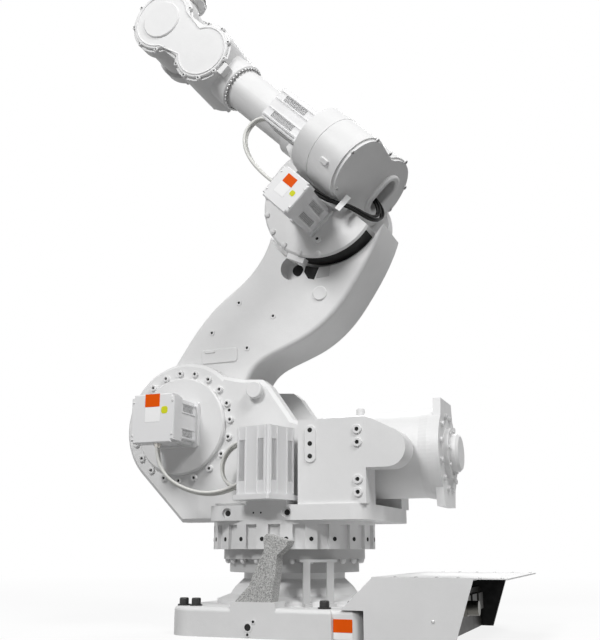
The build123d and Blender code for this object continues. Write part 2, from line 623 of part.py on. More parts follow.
def wrist_ring():
    """The bolted ring between the forearm tube and the wrist."""
    ring = rod_x(0, AXIS_4_RISE, WRIST_RING_R, WRIST_START - WRIST_RING_LENGTH, WRIST_START)
    return upper_arm_frame.location * chamfer(ring.faces().sort_by(Axis.X)[0].edges(), 5)


def wrist_outline(inset):
    """The side view of the wrist: a small lobe, a waist and the round fork about axis 5."""
    lobe_x = FOREARM_LENGTH - SMALL_LOBE_BACK
    waist = WAIST_HALF_HEIGHT - inset
    lobes = Pos(lobe_x, AXIS_4_RISE) * Circle(SMALL_LOBE_R - inset)
    lobes += Pos(FOREARM_LENGTH, AXIS_4_RISE) * Circle(FORK_R - inset)
    return lobes + Pos(lobe_x + SMALL_LOBE_BACK / 2, AXIS_4_RISE) * Rectangle(SMALL_LOBE_BACK, 2 * waist)


def wrist_housing():
    """The cast wrist, open between its two fork sides for the tilt housing."""
    body = slab(wrist_outline(0), -WRIST_HALF_WIDTH, WRIST_HALF_WIDTH)
    lobe_x = FOREARM_LENGTH - SMALL_LOBE_BACK
    round_end = Plane((WRIST_START, 0, AXIS_4_RISE), x_dir=(0, 1, 0), z_dir=(1, 0, 0)) * Circle(WRIST_RING_R)
    wide_end = Plane((lobe_x, 0, AXIS_4_RISE), x_dir=(0, 1, 0), z_dir=(1, 0, 0)) * RectangleRounded(
        2 * WRIST_HALF_WIDTH, 2 * WAIST_HALF_HEIGHT, 60)
    body += loft([round_end, wide_end])
    gap_r = max(FORK_R, TILT_HUB_R) + RUN
    body -= disc_y(FOREARM_LENGTH, AXIS_4_RISE, gap_r, -FORK_INNER, FORK_INNER)
    body -= block(FOREARM_LENGTH, FOREARM_LENGTH + 2 * FORK_R, -FORK_INNER, FORK_INNER,
                  AXIS_4_RISE - 2 * FORK_R, AXIS_4_RISE + 2 * FORK_R)
    return upper_arm_frame.location * body


def wrist_left_cover():
    """The keyhole side cover of the wrist with its raised round disc."""
    outer = WRIST_HALF_WIDTH + SIDE_COVER_THICKNESS
    cover = slab(wrist_outline(SIDE_COVER_INSET), WRIST_HALF_WIDTH, outer)
    cover = chamfer(cover.faces().sort_by(Axis.Y)[-1].edges(), 4)
    disc = disc_y(FOREARM_LENGTH, AXIS_4_RISE, SIDE_DISC_R, outer, outer + SIDE_DISC_THICKNESS)
    return upper_arm_frame.location * (cover + chamfer(disc.faces().sort_by(Axis.Y)[-1].edges(), 4))


def tilt_housing():
    """The hub of axis 5 between the fork sides, with the neck of the tool flange."""
    hub = disc_y(0, 0, TILT_HUB_R, -FORK_INNER + RUN, FORK_INNER - RUN)
    hub += disc_y(0, 0, TILT_BEARING_R, -FORK_INNER + SEAT, FORK_INNER - SEAT)
    neck = turned((0, 0), (TILT_NECK_R, 0), (TILT_NECK_R, TILT_NECK_LENGTH),
                  (TILT_COLLAR_R, TILT_NECK_LENGTH + 12),
                  (TILT_COLLAR_R, TILT_FACE), (0, TILT_FACE))
    return tool_frame.location * (hub + neck)


def tool_flange():
    """The round tool flange of axis 6, with its pilot recess and ring of tapped holes."""
    start = TILT_FACE + SEAT
    flange = turned((0, start), (FLANGE_R, start), (FLANGE_R, FLANGE_REACH), (PILOT_R, FLANGE_REACH),
                    (PILOT_R, FLANGE_REACH - PILOT_DEPTH), (0, FLANGE_REACH - PILOT_DEPTH))
    hole = Pos(FLANGE_PCD / 2, 0, FLANGE_REACH) * Cylinder(FLANGE_HOLE_R, 2 * (FLANGE_REACH - start) - 16)
    flange -= [Rot(0, 0, 360 * k / FLANGE_HOLES) * hole for k in range(FLANGE_HOLES)]
    return tool_frame.location * flange


def axis_2_motor_seat(depth):
    """The frame of the axis 2 motor, outward along Y from the gear unit."""
    y = CHEEK_OUTER + AXIS_2_DISC_THICKNESS + depth
    return Plane((AXIS_2_X, y, AXIS_2_Z), x_dir=(1, 0, 0), z_dir=(0, 1, 0)).location


def axis_1_motor():
    """The upright servo motor of axis 1 on the deck."""
    turn = radians(abs(MOTOR_1_TURN))
    y = CHEEK_OUTER + RUN + (MOTOR_1_SIDE + MOTOR_PLATE_MARGIN) / 2 * (cos(turn) + sin(turn))
    motor = servo_motor(MOTOR_1_SIDE, MOTOR_1_LENGTH)
    return Pos(MOTOR_1_X, y, DECK_TOP + 16) * Rot(0, 0, MOTOR_1_TURN) * motor


# Routes of the leads: on the shoulder in the frame of the part, on the elbow in that of the upper arm
SHOULDER_LEAD = [(400, 411, 686.5 + EMBED), (398, 411, 640), (380, 405, 585), (340, 390, 540),
                 (285, 370, 512),
                 (225, 350, 498), (165, 332, 503), (110, 315, 525), (64 - EMBED, 301, 556)]
SHOULDER_LOOP = [(64 - EMBED, 301, 690), (100, 298, 691), (140, 294, 677), (172, 290, 645), (186, 288, 605),
                 (180, 288, 565), (155, 290, 533), (112, 295, 515), (64 - EMBED, 301, 508)]
ELBOW_LEAD = [(398 - EMBED, 245, 125), (430, 245, 119), (455, 247, 92), (462, 250, 52), (448, 255, 12),
              (415, 261, -21), (370, 267, -45), (315, 273, -61), (255, 277, -69), (195, 279, -71),
              (130, 279, -67),
              (43 - EMBED, 279, -63)]
ELBOW_LEAD_SHIFT = (0, 17, -2)
BUNDLE_INNER = [(EMBED, 18, 166), (-70, 18, 164), (-140, 20, 148), (-176, 42, 112), (-182, 90, 86),
                (-172, 140, 72),
                (-150, 190, 62), (-118, 228, 46), (-85, 250, 22), (-40, 258, 12), (15, 260, 6), (70, 256, 3),
                (115, 236, 2), (135, 195 - EMBED, 2)]
BUNDLE_OUTER = [(EMBED, 0, 170), (-70, 0, 168), (-152, 4, 150), (-196, 32, 112), (-201, 95, 84),
                (-190, 155, 70),
                (-167, 212, 58), (-132, 249, 42), (-92, 270, 20), (-42, 278, 11), (18, 280, 5), (74, 275, 2),
                (126, 252, 1), (156, 195 - EMBED, 1)]

PIECES = {
    "base_casting": base_casting(),
    "axis_1_gear_flange": axis_1_gear_flange(),
    "axis_1_stop_pin": axis_1_stop_pin(),
    "strap_bracket": strap_bracket(),
    "cable_box": cable_box(),
    "cable_box_lid": cable_box_lid(),
    "connector_plate": connector_plate(),
    "cable_gland": cable_gland(),
    "slewing_ring": slewing_ring(),
    "frame_deck": frame_deck(),
    "left_cheek": left_cheek(),
    "right_cheek": mirrored(left_cheek()),
    "left_rear_arm": left_rear_arm(),
    "right_rear_arm": mirrored(left_rear_arm()),
    "axis_2_gear_unit": axis_2_gear_unit(),
    "axis_2_bearing_cover": axis_2_bearing_cover(),
    "axis_2_motor": axis_2_motor_seat(0) * servo_motor(MOTOR_2_SIDE, MOTOR_2_LENGTH),
    "axis_2_motor_cover": axis_2_motor_seat(MOTOR_2_LENGTH) * motor_cover(MOTOR_2_SIDE),
    "axis_1_motor": axis_1_motor(),
    "shoulder_plug": shoulder_plug(),
    "balancer_cylinder": balancer_cylinder(),
    "balancer_end_plate": balancer_end_plate(),
    "balancer_end_cap": balancer_end_cap(),
    "lower_arm": lower_arm(),
    "upper_arm_housing": upper_arm_housing(),
    "rear_gear_cover": rear_gear_cover(),
    "cable_grommet": cable_grommet(),
    "axis_3_gear_cover": axis_3_gear_cover(),
    "axis_3_motor": axis_3_motor(),
    "axis_3_motor_cover": axis_3_motor_cover(),
    "axis_4_motor": axis_4_motor(),
    "arm_tube": arm_tube(),
    "wrist_ring": wrist_ring(),
    "wrist_housing": wrist_housing(),
    "wrist_left_cover": wrist_left_cover(),
    "wrist_right_cover": mirrored(wrist_left_cover()),
    "tilt_housing": tilt_housing(),
    "tool_flange": tool_flange(),
    "shoulder_lead": lead(SHOULDER_LEAD, LEAD_R),
    "shoulder_loop": lead(SHOULDER_LOOP, LEAD_R),
    "elbow_lead_inner": upper_arm_frame.location * lead(ELBOW_LEAD, LEAD_R),
    "elbow_lead_outer": upper_arm_frame.location * Pos(*ELBOW_LEAD_SHIFT) * lead(ELBOW_LEAD, LEAD_R),
    "cable_bundle_inner": upper_arm_frame.location * lead(BUNDLE_INNER, BUNDLE_R),
    "cable_bundle_outer": upper_arm_frame.location * lead(BUNDLE_OUTER, BUNDLE_R),
}

os.makedirs("parts", exist_ok=True)
for node, piece in PIECES.items():
    export_step(piece, f"parts/{node}.step")
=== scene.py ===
import json
import math

import bmesh
import bpy
from mathutils import Matrix, Vector


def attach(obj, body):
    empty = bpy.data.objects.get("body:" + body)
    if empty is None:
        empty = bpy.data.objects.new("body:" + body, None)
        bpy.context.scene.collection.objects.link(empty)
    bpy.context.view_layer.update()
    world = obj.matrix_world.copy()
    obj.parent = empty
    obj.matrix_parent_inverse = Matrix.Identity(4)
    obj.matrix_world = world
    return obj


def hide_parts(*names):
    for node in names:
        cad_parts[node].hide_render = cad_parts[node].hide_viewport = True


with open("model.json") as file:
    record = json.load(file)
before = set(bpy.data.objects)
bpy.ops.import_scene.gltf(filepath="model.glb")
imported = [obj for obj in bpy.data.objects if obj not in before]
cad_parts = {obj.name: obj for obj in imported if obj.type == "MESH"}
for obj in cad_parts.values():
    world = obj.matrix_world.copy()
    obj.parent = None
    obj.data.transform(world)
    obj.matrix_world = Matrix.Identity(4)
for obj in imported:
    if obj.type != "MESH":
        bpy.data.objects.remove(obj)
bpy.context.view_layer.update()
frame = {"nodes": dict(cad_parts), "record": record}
joints = {joint["name"]: joint for joint in frame["record"]["behaviour"]["joints"]}

# Camera of the photograph: focal length in pixels of a 600 by 640 frame, place in metres, turn in degrees
FOCAL_PX = 835.0
FRAME_HEIGHT_PX = 640.0
SENSOR = 36.0
CAMERA_PLACE = Vector((-1.279, 3.189, 0.295))
CAMERA_YAW = 21.5
CAMERA_PITCH = 15.4
CAMERA_REACH = 200

# Light and floor, in metres and watts
KEY_PLACE = Vector((1.6, 8.2, 6.8))
KEY_POWER = 570.0
REAR_PLACE = Vector((-5.7, 3.7, 8.1))
REAR_POWER = 480.0
FAR_PLACE = Vector((1.5, -7.0, 7.0))
FAR_POWER = 320.0
LAMP_SIZE = 2.6
LAMP_AIM = Vector((0.0, 0.0, 1.4))
FILL_LEVEL = 0.15
FLOOR_HALF = 40
FLOOR_BOUNCE = 0.22
FLOOR_SHADE = 0.85
FLOOR_ROUGHNESS = 0.9
FLOOR_GLOW_NEAR = 0.86
FLOOR_NEAR = 2.0
FLOOR_FAR = 7.0

MM = 0.001
UP = Vector((0, 0, 1))
LEFT = Vector((0, 1, 0))
FORWARD = Vector((1, 0, 0))
AXIS_2 = Vector(joints["axis_2"]["pos_m"])
AXIS_3 = Vector(joints["axis_3"]["pos_m"])
ARM = Vector(joints["axis_4"]["axis"])
ARM_UP = ARM.cross(LEFT)
LEAN = (AXIS_3 - AXIS_2).normalized()
LEAN_FORWARD = LEFT.cross(LEAN)
BOTH_SIDES = (-1, 1)

# Sizes and places from here to the motors are in millimetres. Base and turning frame
FOOT_TOP = 100
FOOT_BOLT_FORWARD = (-348, -247, 250, 300)
FOOT_BOLT_LEFT = 340
BASE_SIDE = 395
TAIL_SIDE = 380
FLANGE_UNDERSIDE = 262
FLANGE_BOLT_R = 264
FLANGE_BOLTS = 24
RING_R = 320
RING_HOLE_UP = 334
RING_HOLES = 22
DECK_SIDE = 300
DECK_HOLE_UP = 427.5
CHEEK_FACE = 208
AXIS_2_BOLT_R = 218
SOCKET_FLOOR = 4.6
REAR_BOX_SIDE = 300
STRIP_THICKNESS = 6
BOSS_FLOOR = 1.2
REAR_ARM_INSIDE = 186
REAR_ARM_OUTSIDE = 299.5
HOLE_SINK = -0.5

# Cable box
BOX_INSIDE = 380.2
BOX_OUTSIDE = 384.3
# Thickness and half widths of the black plates of painted shade inside the cable box and under its lid
SHADE_THICKNESS = 0.9
TOP_SHADE_HALF = 379
LID_SHADE_HALF = 382
LID_TOP = 208
LID_RIVET_LEFT = 372

# Balancer
BALANCER_UP = 650
BALANCER_FACE = -630
BALANCER_CAP = -650
BALANCER_COLLAR = -604
BALANCER_BOLT_R = 140
BALANCER_CAP_BOLT_R = 84

# Lower arm and upper arm
ARM_SIDE = 132
PLATE_SINK = 0.5
BRACKET_RISE = 2.5
HOLLOW_RISE = 0.8
COVER_FACE = 195
COVER_R = 250
COVER_DOME_R = 236
# A black band of painted shade in the shadowed gap round the gear cover's lower edge: thickness, left limits
# and turns
SHADE_BAND_THICKNESS = 1.2
SHADE_BAND_LEFT = (100, 186)
SHADE_BAND_TURNS = (-112, -186)
CASE_REAR = -96
EAR_INSET = 0.985
PARTING_ALONG = 62
PARTING_BEAD_R = 2.6
AXIS_4_UP = 188
LOBE_R = 180
MOTOR_LEFT = 265
MOTOR_UP = 182
MOTOR_LOBE_R = 145
LOBE_BOSS_R = 142
LOBE_BOSS_ALONG = -20
LOBE_BOSS_TURN = math.radians(-28)

# Forearm and wrist
WRIST_RING_ALONG = 828
WRIST_RING_BOLT_R = 106.3
WRIST_LOBE = 1031
WRIST_LOBE_RIM_R = 139
WRIST_FORK = 1345
WRIST_FORK_RIM_R = 155
WRIST_EAR_LEFT = 150
WRIST_BEAD_LEFT = 164
WRIST_LOBE_BEAD_R = 121
WRIST_FORK_BEAD_R = 138
WRIST_BEAD_R = 4
WRIST_PAD_ALONG = 874
WRIST_PAD_LEFT = 104
WRIST_PAD_UP = 186

# Motors: side and length of each, the seat it stands on and the face of its cover
FIN_MARGIN = 20
FIN_PANEL = 28
FIN_DEPTH = 6
SLATS = 6
MOTOR_PLATE = 18
MOTOR_1_SIZE = (160, 265)
MOTOR_2_SIZE = (165, 150)
MOTOR_3_SIZE = (126, 218)
MOTOR_4_SIZE = (150, 230)
MOTOR_1_TURN = math.radians(-17)
MOTOR_1_FORWARD = -12
MOTOR_1_UP = 471
MOTOR_1_GAP = 5
MOTOR_1_PLATE_HALF = 88
MOTOR_2_SEAT = 230
MOTOR_2_FACE = 442
MOTOR_2_COVER = 187
MOTOR_3_ALONG = -20
MOTOR_3_UP = -70
MOTOR_3_FACE = 475
MOTOR_3_COVER = 148
MOTOR_4_SEAT = 168
PATCH_THICKNESS = 0.8
GLAND_TOP = 692


def on_frame(x, y, z):
    """A point of the part, from millimetres."""
    return Vector((x, y, z)) * MM


def on_lower_arm(forward, left, along):
    """A point of the lower arm, in millimetres from axis 2."""
    return AXIS_2 + MM * (forward * LEAN_FORWARD + left * LEFT + along * LEAN)


def on_upper_arm(along, left, up):
    """A point of the upper arm, in millimetres from axis 3."""
    return AXIS_3 + MM * (along * ARM + left * LEFT + up * ARM_UP)


# Finishes

def effect_group(name, inputs, outputs):
    """An empty shader group with float inputs and outputs."""
    group = bpy.data.node_groups.new(name, "ShaderNodeTree")
    for label, value in inputs.items():
        socket = group.interface.new_socket(label, in_out="INPUT", socket_type="NodeSocketFloat")
        socket.default_value = value
    for label in outputs:
        group.interface.new_socket(label, in_out="OUTPUT", socket_type="NodeSocketFloat")
    return group, group.nodes.new("NodeGroupInput"), group.nodes.new("NodeGroupOutput")


def noise(group, place, detail, roughness, scale=None):
    """A noise texture on object coordinates."""
    texture = group.nodes.new("ShaderNodeTexNoise")
    texture.inputs["Detail"].default_value = detail
    texture.inputs["Roughness"].default_value = roughness
    if scale is not None:
        texture.inputs["Scale"].default_value = scale
    group.links.new(place.outputs["Object"], texture.inputs["Vector"])
    return texture


def ranged(group, source, from_low, from_high, to_low, to_high):
    """A value brought from one range to another."""
    made = group.nodes.new("ShaderNodeMapRange")
    ends = (("From Min", from_low), ("From Max", from_high), ("To Min", to_low), ("To Max", to_high))
    for label, value in ends:
        made.inputs[label].default_value = value
    group.links.new(source, made.inputs["Value"])
    return made.outputs["Result"]


def arithmetic(group, operation, first, second, third=None):
    """A maths node whose terms are sockets or plain numbers."""
    made = group.nodes.new("ShaderNodeMath")
    made.operation = operation
    for place, term in enumerate((first, second, third)):
        if isinstance(term, (int, float)):
            made.inputs[place].default_value = term
        elif term is not None:
            group.links.new(term, made.inputs[place])
    return made.outputs["Value"]


def cast_paint_group():
    """Orange peel, broad casting waves, stains and speckle of a painted or bare casting."""
    group, given, result = effect_group(
        "cast_paint", {"Grain Size": 260.0, "Wave Size": 9.0, "Stain": 0.10, "Speckle": 0.0},
        ("Shade", "Gloss", "Height"))
    link = group.links.new
    place = group.nodes.new("ShaderNodeTexCoord")
    grain = noise(group, place, 4.0, 0.6)
    wave = noise(group, place, 3.0, 0.55)
    stain = noise(group, place, 6.0, 0.65, 2.3)
    link(given.outputs["Grain Size"], grain.inputs["Scale"])
    link(given.outputs["Wave Size"], wave.inputs["Scale"])
    dark = ranged(group, stain.outputs["Fac"], 0.35, 0.75, 0.0, 1.0)
    spots = ranged(group, grain.outputs["Fac"], 0.38, 0.62, 1.0, 0.0)
    stained = arithmetic(group, "MULTIPLY", dark, given.outputs["Stain"])
    spotted = arithmetic(group, "MULTIPLY_ADD", spots, given.outputs["Speckle"], stained)
    link(arithmetic(group, "SUBTRACT", 1.0, spotted), result.inputs["Shade"])
    link(ranged(group, wave.outputs["Fac"], 0.0, 1.0, 0.38, 0.62), result.inputs["Gloss"])
    relief = arithmetic(group, "MULTIPLY_ADD", grain.outputs["Fac"], 0.3, wave.outputs["Fac"])
    link(relief, result.inputs["Height"])
    return group


CAST_PAINT = cast_paint_group()
RELIEF_DEPTH = 0.002


def finish(name, colour, stain, grain, wave, bump, metallic=0.0, gloss=1.0, speckle=0.0, specular=0.5):
    """A material whose colour, gloss and relief follow the casting group."""
    made = bpy.data.materials.new(name)
    made.use_nodes = True
    tree = made.node_tree
    shader = tree.nodes["Principled BSDF"]
    shader.inputs["Metallic"].default_value = metallic
    shader.inputs["Specular IOR Level"].default_value = specular
    skin = tree.nodes.new("ShaderNodeGroup")
    skin.node_tree = CAST_PAINT
    for label, value in (("Grain Size", grain), ("Wave Size", wave), ("Stain", stain), ("Speckle", speckle)):
        skin.inputs[label].default_value = value
    tint = tree.nodes.new("ShaderNodeMix")
    tint.data_type = "RGBA"
    tint.blend_type = "MULTIPLY"
    tint.inputs["Factor"].default_value = 1.0
    tint.inputs[6].default_value = (*colour, 1.0)
    tree.links.new(skin.outputs["Shade"], tint.inputs[7])
    tree.links.new(tint.outputs[2], shader.inputs["Base Color"])
    rough = arithmetic(tree, "MULTIPLY", skin.outputs["Gloss"], gloss)
    tree.links.new(rough, shader.inputs["Roughness"])
    relief = tree.nodes.new("ShaderNodeBump")
    relief.inputs["Strength"].default_value = bump
    relief.inputs["Distance"].default_value = RELIEF_DEPTH
    tree.links.new(skin.outputs["Height"], relief.inputs["Height"])
    tree.links.new(relief.outputs["Normal"], shader.inputs["Normal"])
    return made


# Colour, stain, grain, wave and bump of each finish
WHITE_PAINT = finish("white_casting_paint", (0.80, 0.80, 0.80), 0.10, 260, 14, 0.45)
MOTOR_PAINT = finish("motor_paint", (0.82, 0.82, 0.825), 0.08, 420, 14, 0.12)
# Grey paint of the flanges, also given to the white elbow bracket as painted shade
GREY_PAINT_AND_SHADE = finish("grey_flange_paint_and_shade", (0.55, 0.55, 0.55), 0.14, 260, 12, 0.2)
RAW_CASTING = finish("granular_raw_casting", (0.66, 0.66, 0.65), 0.1, 260, 60, 1.0, gloss=1.8, speckle=0.55)
DARK_SHEET = finish("dark_sheet_metal", (0.024, 0.023, 0.02), 0.3, 300, 20, 0.1)
PLATED = finish("plated_fitting", (0.62, 0.60, 0.56), 0.2, 500, 40, 0.05, metallic=1.0, gloss=0.6)
STEEL = finish("machined_steel", (0.50, 0.50, 0.50), 0.2, 700, 60, 0.1, metallic=1.0, gloss=0.9)
LIGHT_CABLE = finish("light_cable_sheath", (0.72, 0.72, 0.69), 0.12, 800, 30, 0.1)
FIN_SHADE = finish("painted_fin_gap_shade", (0.36, 0.36, 0.365), 0.1, 420, 14, 0.1)
DULL_FITTING = finish("dull_fitting", (0.16, 0.155, 0.14), 0.2, 500, 40, 0.05, metallic=1.0, gloss=0.8)
BLACK_CABLE = finish("black_cable_sheath", (0.008, 0.008, 0.008), 0.1, 800, 40, 0.1, gloss=0.7, specular=0.15)
BLACK_BOLT = finish("black_bolt", (0.015, 0.015, 0.015), 0.2, 600, 40, 0.1)
# Black of the holes, also used for the band, plates and linings of painted shade
DARK_HOLE_AND_SHADE = finish("dark_hole_and_painted_shade", (0.012, 0.012, 0.012), 0.2, 600, 40, 0.1, gloss=1.8)
ORANGE = finish("plain_orange_patch", (0.84, 0.105, 0.004), 0.06, 900, 30, 0.05, specular=0.05)
PAPER = finish("plain_white_patch", (0.95, 0.95, 0.95), 0.02, 900, 30, 0.05, specular=0.2)
YELLOW = finish("plain_yellow_patch", (0.70, 0.72, 0.03), 0.06, 900, 30, 0.05, specular=0.1)

FINISHES = {
    "white_paint": WHITE_PAINT, "motor_paint": MOTOR_PAINT, "grey_paint": GREY_PAINT_AND_SHADE,
    "raw_casting": RAW_CASTING, "dark_sheet": DARK_SHEET, "plated_metal": PLATED,
    "bare_steel": STEEL, "light_cable": LIGHT_CABLE, "black_cable": BLACK_CABLE,
}
for row in frame["record"]["subparts"]:
    solid = frame["nodes"][row["node"]]
    solid.data.materials.clear()
    solid.data.materials.append(FINISHES[row["material_slot"]])
gland_mesh = frame["nodes"]["cable_gland"].data
gland_mesh.materials.clear()
gland_mesh.materials.append(DULL_FITTING)


# Cords

def cord(name, body, node, route, diameter, material):
    """A lead as one smooth curve along the control points of its route, in place of its solid."""
    curve = bpy.data.curves.new(name, "CURVE")
    curve.dimensions = "3D"
    curve.bevel_depth = diameter / 2
    curve.bevel_resolution = 4
    curve.resolution_u = 16
    curve.use_fill_caps = True
    spline = curve.splines.new("NURBS")
    spline.points.add(len(route) - 1)
    for point, place in zip(spline.points, route):
        point.co = (*place, 1.0)
    spline.order_u = 3
    spline.use_endpoint_u = True
    curve.materials.append(material)
    made = bpy.data.objects.new(name, curve)
    bpy.context.collection.objects.link(made)
    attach(made, body)
    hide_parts(node)


# Routes in millimetres, on the turning frame or on the upper arm
SHOULDER_LEAD = [(400, 411, 689.5), (398, 411, 640), (380, 405, 585), (340, 390, 540), (285, 370, 512),
                 (225, 350, 498), (165, 332, 503), (110, 315, 525), (61, 301, 556)]
SHOULDER_LOOP = [(61, 301, 690), (100, 298, 691), (140, 294, 677), (172, 290, 645), (186, 288, 605),
                 (180, 288, 565), (155, 290, 533), (112, 295, 515), (61, 301, 508)]
ELBOW_LEAD = [(395, 245, 125), (430, 245, 119), (455, 247, 92), (462, 250, 52), (448, 255, 12),
              (415, 261, -21), (370, 267, -45), (315, 273, -61), (255, 277, -69), (195, 279, -71),
              (130, 279, -67), (40, 279, -63)]
ELBOW_LEAD_OUTER = [(along, left + 17, up - 2) for along, left, up in ELBOW_LEAD]
BUNDLE_INNER = [(3, 18, 166), (-70, 18, 164), (-140, 20, 148), (-176, 42, 112), (-182, 90, 86),
                (-172, 140, 72), (-150, 190, 62), (-118, 228, 46), (-85, 250, 22), (-40, 258, 12),
                (15, 260, 6), (70, 256, 3), (115, 236, 2), (135, 192, 2)]
BUNDLE_OUTER = [(3, 0, 170), (-70, 0, 168), (-152, 4, 150), (-196, 32, 112), (-201, 95, 84),
                (-190, 155, 70), (-167, 212, 58), (-132, 249, 42), (-92, 270, 20), (-42, 278, 11),
                (18, 280, 5), (74, 275, 2), (126, 252, 1), (156, 192, 1)]

# Diameters of the strands, in metres, and how a strand sways
SHOULDER_STRAND = 0.012
ELBOW_STRAND = 0.014
BUNDLE_STRAND = 0.011
SWAY_TURN = 1.1
SWAY_RISE = 0.6

# Strands of a lead: left and up of its route in millimetres, and sway
STRAND_OFFSET = 7
SHOULDER_STRANDS = (("near", STRAND_OFFSET, 3, 1.0), ("far", -STRAND_OFFSET, -4, -1.0))
BUNDLE_STRANDS = (("near", 5, -5, 1.5), ("far", -5, 6, -1.5))


def strand(route, left, up, sway, place):
    """A route beside the given one, which sways about it."""
    drifts = [sway * math.sin(SWAY_TURN * step) for step in range(len(route))]
    return [place(x, y + left + drift, z + up + SWAY_RISE * drift) for (x, y, z), drift in zip(route, drifts)]


for name, route, length in (("shoulder_lead", SHOULDER_LEAD, 0.481), ("shoulder_loop", SHOULDER_LOOP, 0.345)):
    for label, left, up, sway in SHOULDER_STRANDS:
        cord(name + "_" + label + "_cord", "turning_frame", name, strand(route, left, up, sway, on_frame),
             SHOULDER_STRAND, LIGHT_CABLE)
for name, route in (("elbow_lead_inner", ELBOW_LEAD), ("elbow_lead_outer", ELBOW_LEAD_OUTER)):
    cord(name + "_cord", "upper_arm", name, [on_upper_arm(*point) for point in route],
         ELBOW_STRAND, LIGHT_CABLE)
for name, route, length in (("cable_bundle_inner", BUNDLE_INNER, 0.708),
                            ("cable_bundle_outer", BUNDLE_OUTER, 0.801)):
    for label, left, up, sway in BUNDLE_STRANDS:
        cord(name + "_" + label + "_cord", "upper_arm", name, strand(route, left, up, sway, on_upper_arm),
             BUNDLE_STRAND, BLACK_CABLE)


# Shapes

def closed_mesh(shape, name):
    """The mesh of a closed shape, with its faces turned outwards."""
    bmesh.ops.recalc_face_normals(shape, faces=shape.faces)
    mesh = bpy.data.meshes.new(name)
    shape.to_mesh(mesh)
    shape.free()
    return mesh


def join_rows(shape, low, high):
    """Faces between two closed rows of as many points."""
    for k in range(len(low)):
        after = (k + 1) % len(low)
        shape.faces.new((low[k], low[after], high[after], high[k]))


def lathe(profile, sides=20):
    """A closed turned shape from radius and height pairs in millimetres, from its rim to its middle."""
    shape = bmesh.new()
    turns = [2 * math.pi * k / sides for k in range(sides)]
    rings = []
    for radius, height in profile:
        if radius == 0:
            rings.append([shape.verts.new((0, 0, height * MM))])
        else:
            rings.append([shape.verts.new((radius * MM * math.cos(t), radius * MM * math.sin(t), height * MM))
                          for t in turns])
    for low, high in zip(rings, rings[1:]):
        if len(high) > 1:
            join_rows(shape, low, high)
        else:
            for k in range(sides):
                shape.faces.new((low[k], low[(k + 1) % sides], high[0]))
    shape.faces.new(list(reversed(rings[0])))
    return closed_mesh(shape, "turned_shape")


def plate(width, height, thickness, corner, edge=0.3):
    """A plate with round corners and a small bevel, in millimetres, on the plane of its first two axes."""
    shape = bmesh.new()
    outline = []
    for side_x, side_y, start in ((1, 1, 0), (-1, 1, 90), (-1, -1, 180), (1, -1, 270)):
        for step in range(5):
            turn = math.radians(start + 22.5 * step)
            outline.append((side_x * (width / 2 - corner) + corner * math.cos(turn),
                            side_y * (height / 2 - corner) + corner * math.sin(turn)))
    levels = []
    for inset, level in ((0, 0), (0, thickness - edge), (edge, thickness)):
        shrink_x, shrink_y = 1 - 2 * inset / width, 1 - 2 * inset / height
        levels.append([shape.verts.new((x * shrink_x * MM, y * shrink_y * MM, level * MM))
                       for x, y in outline])
    for low, high in zip(levels, levels[1:]):
        join_rows(shape, low, high)
    shape.faces.new(levels[-1])
    shape.faces.new(list(reversed(levels[0])))
    return closed_mesh(shape, "plate_shape")


def slab(corners, left_low, left_high, place):
    """A flat-sided solid between two upright planes, from its corners in millimetres on either of them."""
    shape = bmesh.new()
    sides = [[shape.verts.new(place(x, left, z)) for x, z in corners] for left in (left_low, left_high)]
    join_rows(shape, *sides)
    for side in sides:
        shape.faces.new(side)
    return closed_mesh(shape, "slab_shape")


def arc_band(radius, thickness, left_low, left_high, start, end, steps=40):
    """A thin curved band about axis 3, between two turns in degrees."""
    shape = bmesh.new()
    outer = radius + thickness
    corners = ((radius, left_low), (outer, left_low), (outer, left_high), (radius, left_high))
    sections = []
    for k in range(steps + 1):
        turn = math.radians(start + (end - start) * k / steps)
        sections.append([shape.verts.new(on_upper_arm(r * math.cos(turn), left, r * math.sin(turn)))
                         for r, left in corners])
    for one, two in zip(sections, sections[1:]):
        join_rows(shape, one, two)
    shape.faces.new(sections[0])
    shape.faces.new(sections[-1])
    return closed_mesh(shape, "band_shape")


def bead(points, radius):
    """A round bead along a closed line."""
    curve = bpy.data.curves.new("bead", "CURVE")
    curve.dimensions = "3D"
    curve.bevel_depth = radius * MM
    curve.bevel_resolution = 2
    spline = curve.splines.new("POLY")
    spline.points.add(len(points) - 1)
    spline.use_cyclic_u = True
    for point, place in zip(spline.points, points):
        point.co = (*place, 1.0)
    holder = bpy.data.objects.new("bead_holder", curve)
    bpy.context.collection.objects.link(holder)
    mesh = bpy.data.meshes.new_from_object(holder.evaluated_get(bpy.context.evaluated_depsgraph_get()))
    bpy.data.objects.remove(holder)
    return mesh


def socket_head(radius, height):
    """The head of a socket bolt."""
    return lathe([(radius, 0), (radius, 0.85 * height), (0.86 * radius, height), (0.5 * radius, height),
                  (0.46 * radius, 0.4 * height), (0, 0.36 * height)])


def dome_head(radius, height):
    """A low domed head."""
    return lathe([(radius, 0), (radius, 0.3 * height), (0.86 * radius, 0.66 * height),
                  (0.5 * radius, 0.93 * height), (0, height)])


def ring_boss(radius, height, bore):
    """A round boss with a shallow bore."""
    return lathe([(radius, 0), (radius, 0.8 * height), (radius - 0.2 * height, height), (bore, height),
                  (bore, 0.15 * height), (0, 0.15 * height)])


# What repeats

